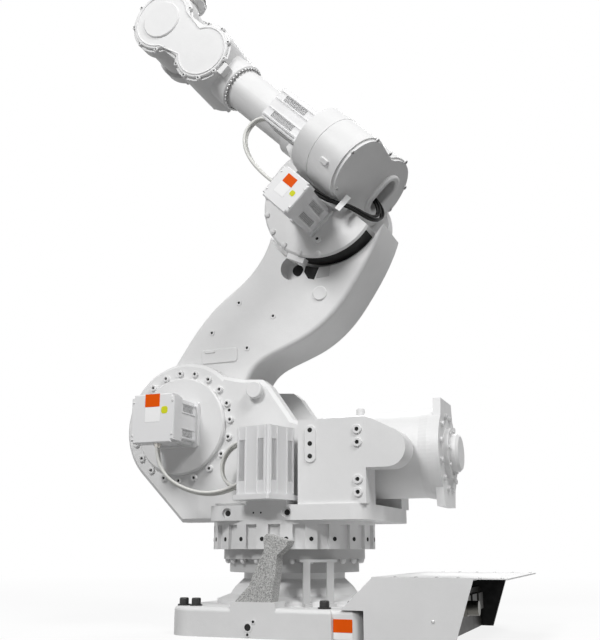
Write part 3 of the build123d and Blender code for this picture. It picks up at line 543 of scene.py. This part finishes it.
def spread_tree():
    """A node tree that sets one shape on every place, at a size and turned to the direction kept there."""
    tree = bpy.data.node_groups.new("set_on_places", "GeometryNodeTree")
    sockets = (("Places", "Geometry"), ("Shape", "Object"), ("Finish", "Material"), ("Size", "Vector"))
    for label, kind in sockets:
        tree.interface.new_socket(label, in_out="INPUT", socket_type="NodeSocket" + kind)
    tree.interface.new_socket("Pieces", in_out="OUTPUT", socket_type="NodeSocketGeometry")
    new, link = tree.nodes.new, tree.links.new
    given, result = new("NodeGroupInput"), new("NodeGroupOutput")
    source = new("GeometryNodeObjectInfo")
    link(given.outputs["Shape"], source.inputs["Object"])
    direction = new("GeometryNodeInputNamedAttribute")
    direction.data_type = "FLOAT_VECTOR"
    direction.inputs["Name"].default_value = "direction"
    turn = new("FunctionNodeAlignRotationToVector")
    turn.axis = "Z"
    link(direction.outputs["Attribute"], turn.inputs["Vector"])
    setter = new("GeometryNodeInstanceOnPoints")
    link(given.outputs["Places"], setter.inputs["Points"])
    link(source.outputs["Geometry"], setter.inputs["Instance"])
    link(turn.outputs["Rotation"], setter.inputs["Rotation"])
    link(given.outputs["Size"], setter.inputs["Scale"])
    real, painted = new("GeometryNodeRealizeInstances"), new("GeometryNodeSetMaterial")
    link(setter.outputs["Instances"], real.inputs["Geometry"])
    link(real.outputs["Geometry"], painted.inputs["Geometry"])
    link(given.outputs["Finish"], painted.inputs["Material"])
    link(painted.outputs["Geometry"], result.inputs["Pieces"])
    return tree


SET_ON_PLACES = spread_tree()


def spread(shape, material, places, size=(1.0, 1.0, 1.0)):
    """One mesh of a shape repeated at pairs of point and direction."""
    points = bpy.data.meshes.new("places")
    points.from_pydata([tuple(point) for point, _ in places], [], [])
    kept = points.attributes.new("direction", "FLOAT_VECTOR", "POINT")
    for slot, (_, direction) in zip(kept.data, places):
        slot.vector = direction
    source = bpy.data.objects.new("shape_source", shape)
    holder = bpy.data.objects.new("places_holder", points)
    bpy.context.collection.objects.link(source)
    bpy.context.collection.objects.link(holder)
    maker = holder.modifiers.new("set_on_places", "NODES")
    maker.node_group = SET_ON_PLACES
    inputs = [item for item in SET_ON_PLACES.interface.items_tree if item.in_out == "INPUT"]
    sockets = {item.name: item.identifier for item in inputs}
    maker[sockets["Shape"]] = source
    maker[sockets["Finish"]] = material
    maker[sockets["Size"]] = tuple(float(value) for value in size)
    mesh = bpy.data.meshes.new_from_object(holder.evaluated_get(bpy.context.evaluated_depsgraph_get()))
    holder.modifiers.remove(maker)
    bpy.data.objects.remove(holder)
    bpy.data.objects.remove(source)
    return mesh


def holes(places, radius, low, high, sides):
    """Dark round plugs at pairs of point and direction, between two heights in millimetres."""
    moved = [(point + MM * low * Vector(way), way) for point, way in places]
    return spread(lathe([(1, 0), (1, 1), (0, 1)], sides), DARK_HOLE_AND_SHADE, moved, (radius, radius, high - low))


def piece(name, body, slot, material, *meshes):
    """One object of several meshes in the part's frame, riding on a body."""
    joined = bmesh.new()
    for mesh in meshes:
        joined.from_mesh(mesh)
    for face in joined.faces:
        face.material_index = 0
    data = bpy.data.meshes.new(name)
    joined.to_mesh(data)
    joined.free()
    data.materials.append(material)
    made = bpy.data.objects.new(name, data)
    bpy.context.collection.objects.link(made)
    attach(made, body)


def white_piece(name, body, *meshes):
    """A piece in the white paint of the castings."""
    piece(name, body, "white_paint", WHITE_PAINT, *meshes)


def dark_piece(name, body, *meshes):
    """A piece in the black of holes, for dark holes and for plates, bands and linings of painted shade."""
    piece(name, body, "dark_sheet", DARK_HOLE_AND_SHADE, *meshes)


def standing(origin, across, up):
    """The matrix that stands a shape on a point, with its first two axes given."""
    out = across.cross(up)
    return Matrix.Translation(origin) @ Matrix((across, up, out)).transposed().to_4x4()


def laid(mesh, origin, across, up):
    """A copy of a mesh stood on a point."""
    copy = mesh.copy()
    copy.transform(standing(origin, across.normalized(), up.normalized()))
    return copy


def polar(radius, degrees):
    """The two parts of a radius at a turn."""
    turn = math.radians(degrees)
    return radius * math.cos(turn), radius * math.sin(turn)


def circle(centre, across, up, radius, count, start=0.0):
    """Points in millimetres of radius evenly round a circle in the plane of two directions."""
    spots = [polar(radius, start + 360 * k / count) for k in range(count)]
    return [centre + MM * (x * across + y * up) for x, y in spots]


def facing(points, direction):
    """Places that all face one way."""
    return [(point, tuple(direction)) for point in points]


def on_both_sides(spots, face, place):
    """Places on two faces that mirror each other, from pairs of values on a face."""
    return [(place(x, side * face, z), (0, side, 0)) for x, z in spots for side in BOTH_SIDES]


# Base
foot_places = [on_frame(x, y, FOOT_TOP) for x in FOOT_BOLT_FORWARD for y in (-FOOT_BOLT_LEFT, FOOT_BOLT_LEFT)]
piece("foot_bolts", "base", "dark_sheet", BLACK_BOLT,
      spread(lathe([(23, 0), (23, 4), (21, 5), (0, 5)], 24), BLACK_BOLT, facing(foot_places, UP)),
      spread(socket_head(17, 27), BLACK_BOLT, facing(foot_places, UP)))
side_holes = on_both_sides([(17, 36)], BASE_SIDE, on_frame)
small_holes = on_both_sides([(-4, 55), (17, 12)], BASE_SIDE, on_frame)
dark_piece("base_side_holes", "base",
           holes(side_holes, 12, HOLE_SINK, 0.6, 20), holes(small_holes, 4.5, 0, 2.6, 12))
white_piece("base_side_rims", "base",
            spread(ring_boss(18, 2, 12.2), WHITE_PAINT, side_holes),
            spread(ring_boss(9, 2, 4.8), WHITE_PAINT, small_holes))
flange_bolts = circle(on_frame(0, 0, FLANGE_UNDERSIDE), FORWARD, LEFT, FLANGE_BOLT_R, FLANGE_BOLTS, 5)
white_piece("gear_flange_bolts", "base", spread(dome_head(11, 17), WHITE_PAINT, facing(flange_bolts, -UP)))

# Cable box: black plates of painted shade inside it and under its lid, and its rivets
wall_shade = [(-404, 5), (-700, 5), (-767, 199), (-436, 199), (-404, 150)]
top_shade = [(-436, 199), (-768, 199), (-768, 199.8), (-436, 199.8)]
lid_shade = [(-772, 203.1), (-878, 203.1), (-878, 203.9), (-772, 203.9)]
dark_piece("cable_box_lining", "base",
           slab(wall_shade, BOX_INSIDE - SHADE_THICKNESS, BOX_INSIDE, on_frame),
           slab(wall_shade, -BOX_INSIDE, SHADE_THICKNESS - BOX_INSIDE, on_frame),
           slab(top_shade, -TOP_SHADE_HALF, TOP_SHADE_HALF, on_frame),
           slab(lid_shade, -LID_SHADE_HALF, LID_SHADE_HALF, on_frame))
rivets = on_both_sides([(-634, 72)], BOX_OUTSIDE, on_frame)
rivets += facing([on_frame(x, side * LID_RIVET_LEFT, LID_TOP) for x in range(-860, -440, 70)
                  for side in BOTH_SIDES], UP)
piece("cable_box_rivets", "base", "bare_steel", STEEL, spread(dome_head(6, 3), STEEL, rivets))

# Slewing ring and deck
ring_places = []
for k in range(RING_HOLES):
    x, y = polar(1, 360 / RING_HOLES * (k + 0.5))
    ring_places.append((on_frame(RING_R * x, RING_R * y, RING_HOLE_UP), (x, y, 0)))
deck_bores = on_both_sides([(149, DECK_HOLE_UP), (-91, DECK_HOLE_UP)], DECK_SIDE, on_frame)
pin_holes = facing([on_frame(x, 310, DECK_HOLE_UP) for x in (40, 10)], LEFT)
dark_piece("slewing_ring_holes", "turning_frame", holes(ring_places, 8, HOLE_SINK, 0.8, 14),
           holes(deck_bores, 11, HOLE_SINK, 0.8, 14), holes(pin_holes, 3.5, HOLE_SINK, 0.5, 10))

# Bolt circles of axis 2
bolt_turns = [50 + 18 * k for k in range(9)]
bolt_turns += [213, 233, 253, 271.5, 289.5, 307.5, 325.5, 343.5, 1.5, 17.5, 33.5]
axis_2_bolts = []
for side in BOTH_SIDES:
    for turn in bolt_turns:
        x, z = polar(AXIS_2_BOLT_R, turn)
        axis_2_bolts.append((AXIS_2 + on_frame(x, side * CHEEK_FACE, z), (0, side, 0)))
white_piece("axis_2_bolts", "turning_frame", spread(socket_head(13.5, 11), WHITE_PAINT, axis_2_bolts))
tapped = facing([on_frame(200, CHEEK_FACE, 835), on_frame(199, CHEEK_FACE, 795)], LEFT)
dark_piece("axis_2_bolt_sockets", "turning_frame",
           holes(axis_2_bolts, 5.8, SOCKET_FLOOR, SOCKET_FLOOR + 0.4, 6),
           holes(tapped, 6, HOLE_SINK, 0.4, 12))

# Rear box: a raised strip with three holes and four round bosses, on both sides
strip = plate(44, 138, STRIP_THICKNESS, 20, 2)
strips = [laid(strip, on_frame(-182, side * REAR_BOX_SIDE, 672), -side * FORWARD, UP) for side in BOTH_SIDES]
strip_holes = on_both_sides([(-182, z) for z in (723, 673, 627)], REAR_BOX_SIDE + STRIP_THICKNESS, on_frame)
boss_places = on_both_sides([(-363, z) for z in (718, 671, 539, 494)], REAR_BOX_SIDE, on_frame)
white_piece("rear_box_bosses", "turning_frame",
            spread(ring_boss(17, 7, 8), WHITE_PAINT, boss_places), *strips)
dark_piece("rear_box_holes", "turning_frame",
           holes(boss_places, 7.5, BOSS_FLOOR, BOSS_FLOOR + 0.5, 14),
           holes(strip_holes, 9, HOLE_SINK, 0.6, 16))

# Sloping tops of the rear arms, down to their round ends
slope = [(-392, 763), (-410, 757), (-450, 738), (-490, 717), (-470, 650), (-392, 650)]
white_piece("rear_arm_slopes", "turning_frame",
            slab(slope, REAR_ARM_INSIDE, REAR_ARM_OUTSIDE, on_frame),
            slab(slope, -REAR_ARM_OUTSIDE, -REAR_ARM_INSIDE, on_frame))

# Balancer
plate_bolts = circle(on_frame(BALANCER_FACE, 0, BALANCER_UP), LEFT, UP, BALANCER_BOLT_R, 12, 15)
cap_bolts = circle(on_frame(BALANCER_CAP, 0, BALANCER_UP), LEFT, UP, BALANCER_CAP_BOLT_R, 8, 10)
top_stud = facing([on_frame(-284, 0, 814)], UP)
white_piece("balancer_bolts", "balancer",
            spread(socket_head(11, 11), WHITE_PAINT, facing(plate_bolts, -FORWARD)),
            spread(socket_head(6, 6), WHITE_PAINT, facing(cap_bolts, -FORWARD)),
            spread(lathe([(17, -4), (17, 24), (14, 28), (0, 28)]), WHITE_PAINT, top_stud))
collar = lathe([(164, -52), (166, -52), (172, -20), (172, 4), (164, 4)], 72)
collar_place = facing([on_frame(BALANCER_COLLAR, 0, BALANCER_UP)], -FORWARD)
white_piece("balancer_collar", "balancer", spread(collar, WHITE_PAINT, collar_place))

# Lower arm
arm_holes = on_both_sides([(114, 551), (-58, 576), (-30, 407), (152, 383)], ARM_SIDE, on_lower_arm)
round_pad = facing([on_lower_arm(-190, ARM_SIDE, 752)], LEFT)
hollow_fitting = facing([on_lower_arm(-14, 62.5, 797)], LEFT)
# A black plate of painted shade for the deep inside of the hollow beside the elbow
hollow_shade = [(-70, 823), (-100, 833), (-126, 845), (-135, 790), (-109, 782), (-78, 798)]
bracket = [(-128, 847), (-148, 858), (-168, 872), (-186, 832), (-140, 799)]
# The white bracket beside the hollow is given the grey flange paint as painted shade
piece("elbow_bracket", "lower_arm", "white_paint", GREY_PAINT_AND_SHADE,
      slab(bracket, ARM_SIDE - PLATE_SINK, ARM_SIDE + BRACKET_RISE, on_lower_arm))
white_piece("lower_arm_pads", "lower_arm",
            spread(ring_boss(13, 2.5, 6), WHITE_PAINT, arm_holes),
            spread(lathe([(30, -1), (30, 4), (27, 6), (0, 6)], 32), WHITE_PAINT, round_pad),
            laid(plate(168, 62, 5, 14, 3), on_lower_arm(62, ARM_SIDE, 318), -FORWARD, UP),
            laid(plate(48, 13, 9, 6, 2), on_lower_arm(109, ARM_SIDE, 311), -FORWARD, UP))
dark_piece("lower_arm_holes", "lower_arm", holes(arm_holes, 5.6, 0, 0.8, 12),
           spread(lathe([(24, -2), (24, 3), (20, 6), (0, 6)], 24), DARK_HOLE_AND_SHADE, hollow_fitting),
           slab(hollow_shade, ARM_SIDE - PLATE_SINK, ARM_SIDE + HOLLOW_RISE, on_lower_arm))

# Elbow: domes on the gear cover, and a black band of painted shade round its lower edge, where the gap under
# it lies in shadow
dome_spots = [polar(COVER_DOME_R, turn) for turn in (-53, -73.5, -93.5, -113, -133, -33, -13)]
domes = [on_upper_arm(along, COVER_FACE, up) for along, up in dome_spots]
white_piece("elbow_cover_domes", "upper_arm", spread(dome_head(13, 9), WHITE_PAINT, facing(domes, LEFT)))
dark_piece("elbow_seal", "upper_arm", arc_band(COVER_R, SHADE_BAND_THICKNESS, *SHADE_BAND_LEFT, *SHADE_BAND_TURNS))


# Gear case: parting line, ears with screws, a boss, a black plate of painted shade in the cable passage and
# the cables' tag

def keyhole(steps=14):
    """The outline of the gear case, left and up, going round from its lowest point."""
    half_round = [180 * k / steps - 90 for k in range(steps + 1)]
    small = [polar(MOTOR_LOBE_R, turn) for turn in half_round]
    large = [polar(LOBE_R, turn + 180) for turn in half_round]
    outline = [(MOTOR_LEFT + left, MOTOR_UP + up) for left, up in small]
    outline.append((MOTOR_LEFT / 2, AXIS_4_UP + 0.75 * LOBE_R + 6))
    return outline + [(left, AXIS_4_UP + up) for left, up in large]


ears = [(411, 204), (327, 312), (176, 326), (24, 364), (-130, 300), (321, 66), (177, 36), (-165, 190)]
ear_places = facing([on_upper_arm(CASE_REAR, left * EAR_INSET, up) for left, up in ears], -ARM)
parting = bead([on_upper_arm(PARTING_ALONG, left, up) for left, up in keyhole()], PARTING_BEAD_R)
boss_out = math.cos(LOBE_BOSS_TURN) * LEFT + math.sin(LOBE_BOSS_TURN) * ARM_UP
lobe_boss = on_upper_arm(LOBE_BOSS_ALONG, MOTOR_LEFT, MOTOR_UP) + MM * LOBE_BOSS_R * boss_out
white_piece("gear_case_ears", "upper_arm", parting, spread(ring_boss(10, 5, 5), WHITE_PAINT, ear_places),
            laid(plate(40, 22, 13, 5, 2), lobe_boss, ARM, boss_out.cross(ARM)))
cover_boss = facing([on_upper_arm(-118, COVER_FACE, -128)], LEFT)
dark_piece("gear_case_screws", "upper_arm",
           holes(ear_places, 4.6, 0, 1.2, 10), holes(cover_boss, 6.8, 0, 11, 16))
# A black plate of painted shade deep in the cable passage
dark_piece("cable_passage_floor", "upper_arm",
           laid(plate(148, 78, 3, 38, 1), on_upper_arm(-28, 0, 198), -LEFT, ARM_UP))
tag_out = (LEFT - 0.25 * FORWARD).normalized()
tag_along = (ARM_UP * 0.9 + 0.25 * LEFT).cross(tag_out).cross(tag_out) * -1
piece("cable_tag", "upper_arm", "motor_paint", PAPER,
      laid(plate(72, 24, 1.8, 3), on_upper_arm(-133, 266, 44), tag_along, tag_out.cross(tag_along)))

# Forearm and wrist
ring_bolts = circle(on_upper_arm(WRIST_RING_ALONG, 0, AXIS_4_UP), LEFT, ARM_UP, WRIST_RING_BOLT_R, 36)
piece("wrist_ring_bolts", "forearm", "bare_steel", STEEL,
      spread(socket_head(6, 8), STEEL, facing(ring_bolts, -ARM)))


def round_rim(centre, radius, turns):
    """Points along and up round one end of the wrist."""
    spots = [polar(radius, turn) for turn in turns]
    return [(centre + along, AXIS_4_UP + up) for along, up in spots]


def wrist_bead(side, steps=24):
    """The raised line inside the edge of a wrist cover."""
    points = []
    for centre, radius, start, end in ((WRIST_FORK, WRIST_FORK_BEAD_R, -132, 132),
                                       (WRIST_LOBE, WRIST_LOBE_BEAD_R, 40, 320)):
        points += round_rim(centre, radius, [start + (end - start) * k / steps for k in range(steps + 1)])
    return bead([on_upper_arm(along, side * WRIST_BEAD_LEFT, up) for along, up in points], WRIST_BEAD_R)


rim = round_rim(WRIST_LOBE, WRIST_LOBE_RIM_R, (60, 95, 130, 165, 195, 230, 265, 300))
rim += round_rim(WRIST_FORK, WRIST_FORK_RIM_R, (-125, -85, -45, -5, 40, 85, 125))
wrist_ears = on_both_sides(rim, WRIST_EAR_LEFT, on_upper_arm)
left_pad = on_upper_arm(WRIST_PAD_ALONG, WRIST_PAD_LEFT, WRIST_PAD_UP)
right_pad = on_upper_arm(WRIST_PAD_ALONG, -WRIST_PAD_LEFT, WRIST_PAD_UP)
white_piece("wrist_cover_ears", "forearm",
            spread(ring_boss(11, 15, 5.5), WHITE_PAINT, wrist_ears),
            laid(plate(56, 30, 50, 4, 2), left_pad, ARM_UP, ARM),
            laid(plate(30, 56, 50, 4, 2), right_pad, ARM, ARM_UP),
            *[wrist_bead(side) for side in BOTH_SIDES])
dark_piece("wrist_cover_screws", "forearm", holes(wrist_ears, 5.5, 2.5, 9, 10))


# Motors: fine slats in the fin panels, grey plates of painted shade between them, and cover screws

def motor_fins(origin, across, up, side, length):
    """The slats and rails of a motor that stands on a point, and grey plates of painted shade between the
    slats.
    """
    offset = side / 2 - FIN_MARGIN - FIN_PANEL / 2
    body = length - MOTOR_PLATE
    height = 0.6 * body
    middle = MOTOR_PLATE + body / 2
    slat_spots = [sign * offset + FIN_PANEL * ((k + 0.5) / SLATS - 0.5)
                  for sign in BOTH_SIDES for k in range(SLATS)]
    rail_spots = [sign * offset + edge * (FIN_PANEL / 2 + 4) for sign in BOTH_SIDES for edge in BOTH_SIDES]
    gap_spots = [sign * offset for sign in BOTH_SIDES]

    def row(shape, material, out, spots):
        return spread(shape, material, facing([Vector((out, spot, middle)) * MM for spot in spots], FORWARD))

    fins, shade_plates = [], []
    for turn in range(4):
        faced = standing(origin, across, up) @ Matrix.Rotation(math.radians(90 * turn), 4, "Z")
        floor = side / 2 - FIN_DEPTH
        slats = row(plate(height - 2, 2.0, FIN_DEPTH - 0.6, 0.9), MOTOR_PAINT, floor, slat_spots)
        rails = row(plate(body - 8, 4, 3, 1.2), MOTOR_PAINT, side / 2, rail_spots)
        shaded = row(plate(height - 1, FIN_PANEL - 1, 0.5, 0.9, 0.1), FIN_SHADE, floor, gap_spots)
        for mesh, kept in ((slats, fins), (rails, fins), (shaded, shade_plates)):
            mesh.transform(faced)
            kept.append(mesh)
    return fins, shade_plates


motor_1_across = Vector((math.cos(MOTOR_1_TURN), math.sin(MOTOR_1_TURN), 0))
motor_1_reach = MOTOR_1_PLATE_HALF * (math.cos(MOTOR_1_TURN) + abs(math.sin(MOTOR_1_TURN)))
motor_1_seat = on_frame(MOTOR_1_FORWARD, CHEEK_FACE + MOTOR_1_GAP + motor_1_reach, MOTOR_1_UP)
motor_2_seat = AXIS_2 + MM * MOTOR_2_SEAT * LEFT
motor_3_seat = on_upper_arm(MOTOR_3_ALONG, COVER_FACE, MOTOR_3_UP)
motor_4_seat = on_upper_arm(MOTOR_4_SEAT, MOTOR_LEFT, MOTOR_UP)
fins_1, shade_plates_1 = motor_fins(motor_1_seat, motor_1_across, UP.cross(motor_1_across), *MOTOR_1_SIZE)
fins_2, shade_plates_2 = motor_fins(motor_2_seat, FORWARD, -UP, *MOTOR_2_SIZE)
fins_3, shade_plates_3 = motor_fins(motor_3_seat, ARM, -ARM_UP, *MOTOR_3_SIZE)
fins_4, shade_plates_4 = motor_fins(motor_4_seat, LEFT, ARM_UP, *MOTOR_4_SIZE)
piece("shoulder_motor_slats", "turning_frame", "motor_paint", MOTOR_PAINT, *fins_1, *fins_2)
piece("shoulder_motor_gaps", "turning_frame", "motor_paint", FIN_SHADE, *shade_plates_1, *shade_plates_2)
piece("elbow_motor_slats", "upper_arm", "motor_paint", MOTOR_PAINT, *fins_3, *fins_4)
piece("elbow_motor_gaps", "upper_arm", "motor_paint", FIN_SHADE, *shade_plates_3, *shade_plates_4)


def cover_screws(origin, across, up, side):
    """Four small screws beside the notched corners of a motor cover."""
    near, far = side / 2 - 8, side / 2 - 30
    spots = [(x * near, y * far) for x in BOTH_SIDES for y in BOTH_SIDES]
    return facing([origin + MM * (x * across + y * up) for x, y in spots], LEFT)


motor_3_face = on_upper_arm(MOTOR_3_ALONG, MOTOR_3_FACE, MOTOR_3_UP)
axis_2_screws = cover_screws(AXIS_2 + MM * MOTOR_2_FACE * LEFT, FORWARD, UP, MOTOR_2_COVER)
axis_3_screws = cover_screws(motor_3_face, ARM, ARM_UP, MOTOR_3_COVER)
piece("axis_2_cover_screws", "turning_frame", "motor_paint", STEEL,
      spread(dome_head(4.5, 3), STEEL, axis_2_screws))
piece("axis_3_cover_screws", "upper_arm", "motor_paint", STEEL,
      spread(dome_head(4.0, 3), STEEL, axis_3_screws))

# Plain patches: name, finish, width, height and corner, and place on each face
SHOULDER_PATCHES = (
    ("axis_2_orange_patch", ORANGE, (64, 50, 2), on_frame(412, MOTOR_2_FACE, 849)),
    ("axis_2_white_patch", PAPER, (64, 56, 2), on_frame(410, MOTOR_2_FACE, 794)),
    ("axis_2_yellow_patch", YELLOW, (28, 28, 9), on_frame(358, MOTOR_2_FACE, 810)),
)
ELBOW_PATCHES = (
    ("axis_3_orange_patch", ORANGE, (52, 38, 2), on_upper_arm(-10, MOTOR_3_FACE, -34)),
    ("axis_3_white_patch", PAPER, (52, 46, 2), on_upper_arm(-8, MOTOR_3_FACE, -79)),
    ("axis_3_yellow_patch", YELLOW, (22, 22, 7), on_upper_arm(-56, MOTOR_3_FACE, -66)),
)
BASE_PATCHES = (
    ("base_orange_patch", ORANGE, (68, 42, 2), on_frame(-326, TAIL_SIDE, 50)),
    ("base_white_patch", PAPER, (68, 20, 2), on_frame(-326, TAIL_SIDE, 17)),
)
for patches, body, slot, across, up in ((SHOULDER_PATCHES, "turning_frame", "motor_paint", -FORWARD, UP),
                                        (ELBOW_PATCHES, "upper_arm", "motor_paint", -ARM, ARM_UP),
                                        (BASE_PATCHES, "base", "white_paint", -FORWARD, UP)):
    for name, material, (width, height, corner), place in patches:
        patch = plate(width, height, PATCH_THICKNESS, corner)
        piece(name, body, slot, material, laid(patch, place, across, up))

# Glands at the ends of the light leads
gland = lathe([(9.5, -3), (9.5, 9), (8, 11), (8, 18), (6.6, 22), (6.2, 18), (0, 18)], 16)
lead_ends = ((SHOULDER_LEAD[-1], (0.83, 0.24, -0.5)), (SHOULDER_LOOP[0], (0.98, -0.08, 0)),
             (SHOULDER_LOOP[-1], (0.98, -0.08, 0.1)))
strand_lefts = (-STRAND_OFFSET, STRAND_OFFSET)
top_x, top_y, _ = SHOULDER_LEAD[0]
frame_ends = facing([on_frame(top_x, top_y + left, GLAND_TOP) for left in strand_lefts], -UP)
frame_ends += [(on_frame(x, y + left, z), way) for left in strand_lefts for (x, y, z), way in lead_ends]
piece("shoulder_lead_glands", "turning_frame", "plated_metal", PLATED, spread(gland, PLATED, frame_ends))
arm_ends = facing([on_upper_arm(*route[0]) for route in (ELBOW_LEAD, ELBOW_LEAD_OUTER)], ARM)
piece("elbow_lead_glands", "upper_arm", "plated_metal", PLATED, spread(gland, PLATED, arm_ends))


# Light, floor and camera

def seen_directly(tree):
    """One where a surface is seen by the camera, in a reflection or through glass."""
    path = tree.nodes.new("ShaderNodeLightPath")
    mirrored = arithmetic(tree, "MAXIMUM", path.outputs["Is Camera Ray"], path.outputs["Is Glossy Ray"])
    return arithmetic(tree, "MAXIMUM", mirrored, path.outputs["Is Transmission Ray"])


world = bpy.data.worlds.new("studio")
bpy.context.scene.world = world
world.use_nodes = True
world_tree = world.node_tree
backdrop = world_tree.nodes["Background"]
backdrop.inputs["Color"].default_value = (1, 1, 1, 1)
world_level = ranged(world_tree, seen_directly(world_tree), 0, 1, FILL_LEVEL, 1.0)
world_tree.links.new(world_level, backdrop.inputs["Strength"])


def soft_lamp(name, place, power):
    """A square soft box that looks at the middle of the object."""
    lamp = bpy.data.lights.new(name, "AREA")
    lamp.energy = power
    lamp.size = LAMP_SIZE
    made = bpy.data.objects.new(name, lamp)
    made.location = place
    made.rotation_euler = (LAMP_AIM - place).to_track_quat("-Z", "Y").to_euler()
    bpy.context.collection.objects.link(made)


soft_lamp("key_lamp", KEY_PLACE, KEY_POWER)
soft_lamp("rear_lamp", REAR_PLACE, REAR_POWER)
soft_lamp("far_lamp", FAR_PLACE, FAR_POWER)

floor_mesh = bpy.data.meshes.new("floor")
floor_mesh.from_pydata([(x * FLOOR_HALF, y * FLOOR_HALF, 0) for x, y in ((-1, -1), (1, -1), (1, 1), (-1, 1))],
                       [], [(0, 1, 2, 3)])
floor = bpy.data.objects.new("floor", floor_mesh)
bpy.context.collection.objects.link(floor)
pale_floor = bpy.data.materials.new("pale_floor")
pale_floor.use_nodes = True
floor_tree = pale_floor.node_tree
floor_link = floor_tree.links.new
matte = floor_tree.nodes["Principled BSDF"]
floor_colour = ranged(floor_tree, seen_directly(floor_tree), 0, 1, FLOOR_BOUNCE, FLOOR_SHADE)
floor_link(floor_colour, matte.inputs["Base Color"])
matte.inputs["Roughness"].default_value = FLOOR_ROUGHNESS
glow = floor_tree.nodes.new("ShaderNodeEmission")
blend = floor_tree.nodes.new("ShaderNodeMixShader")
floor_place = floor_tree.nodes.new("ShaderNodeTexCoord")
away = floor_tree.nodes.new("ShaderNodeVectorMath")
away.operation = "LENGTH"
floor_link(floor_place.outputs["Object"], away.inputs[0])
share = ranged(floor_tree, away.outputs["Value"], FLOOR_NEAR, FLOOR_FAR, FLOOR_GLOW_NEAR, 1.0)
floor_link(arithmetic(floor_tree, "MULTIPLY", share, seen_directly(floor_tree)), blend.inputs["Fac"])
floor_link(matte.outputs["BSDF"], blend.inputs[1])
floor_link(glow.outputs["Emission"], blend.inputs[2])
floor_link(blend.outputs["Shader"], floor_tree.nodes["Material Output"].inputs["Surface"])
floor_mesh.materials.append(pale_floor)

yaw, pitch = math.radians(CAMERA_YAW), math.radians(CAMERA_PITCH)
look = Vector((math.sin(yaw) * math.cos(pitch), -math.cos(yaw) * math.cos(pitch), math.sin(pitch)))
right = look.cross(UP).normalized()
camera_data = bpy.data.cameras.new("camera")
camera_data.sensor_width = SENSOR
camera_data.lens = SENSOR * FOCAL_PX / FRAME_HEIGHT_PX
camera_data.clip_end = CAMERA_REACH
camera = bpy.data.objects.new("camera", camera_data)
camera_turn = Matrix((right, right.cross(look), -look)).transposed().to_4x4()
camera.matrix_world = Matrix.Translation(CAMERA_PLACE) @ camera_turn
bpy.context.collection.objects.link(camera)
bpy.context.scene.camera = camera
bpy.context.scene.view_settings.view_transform = "Standard"
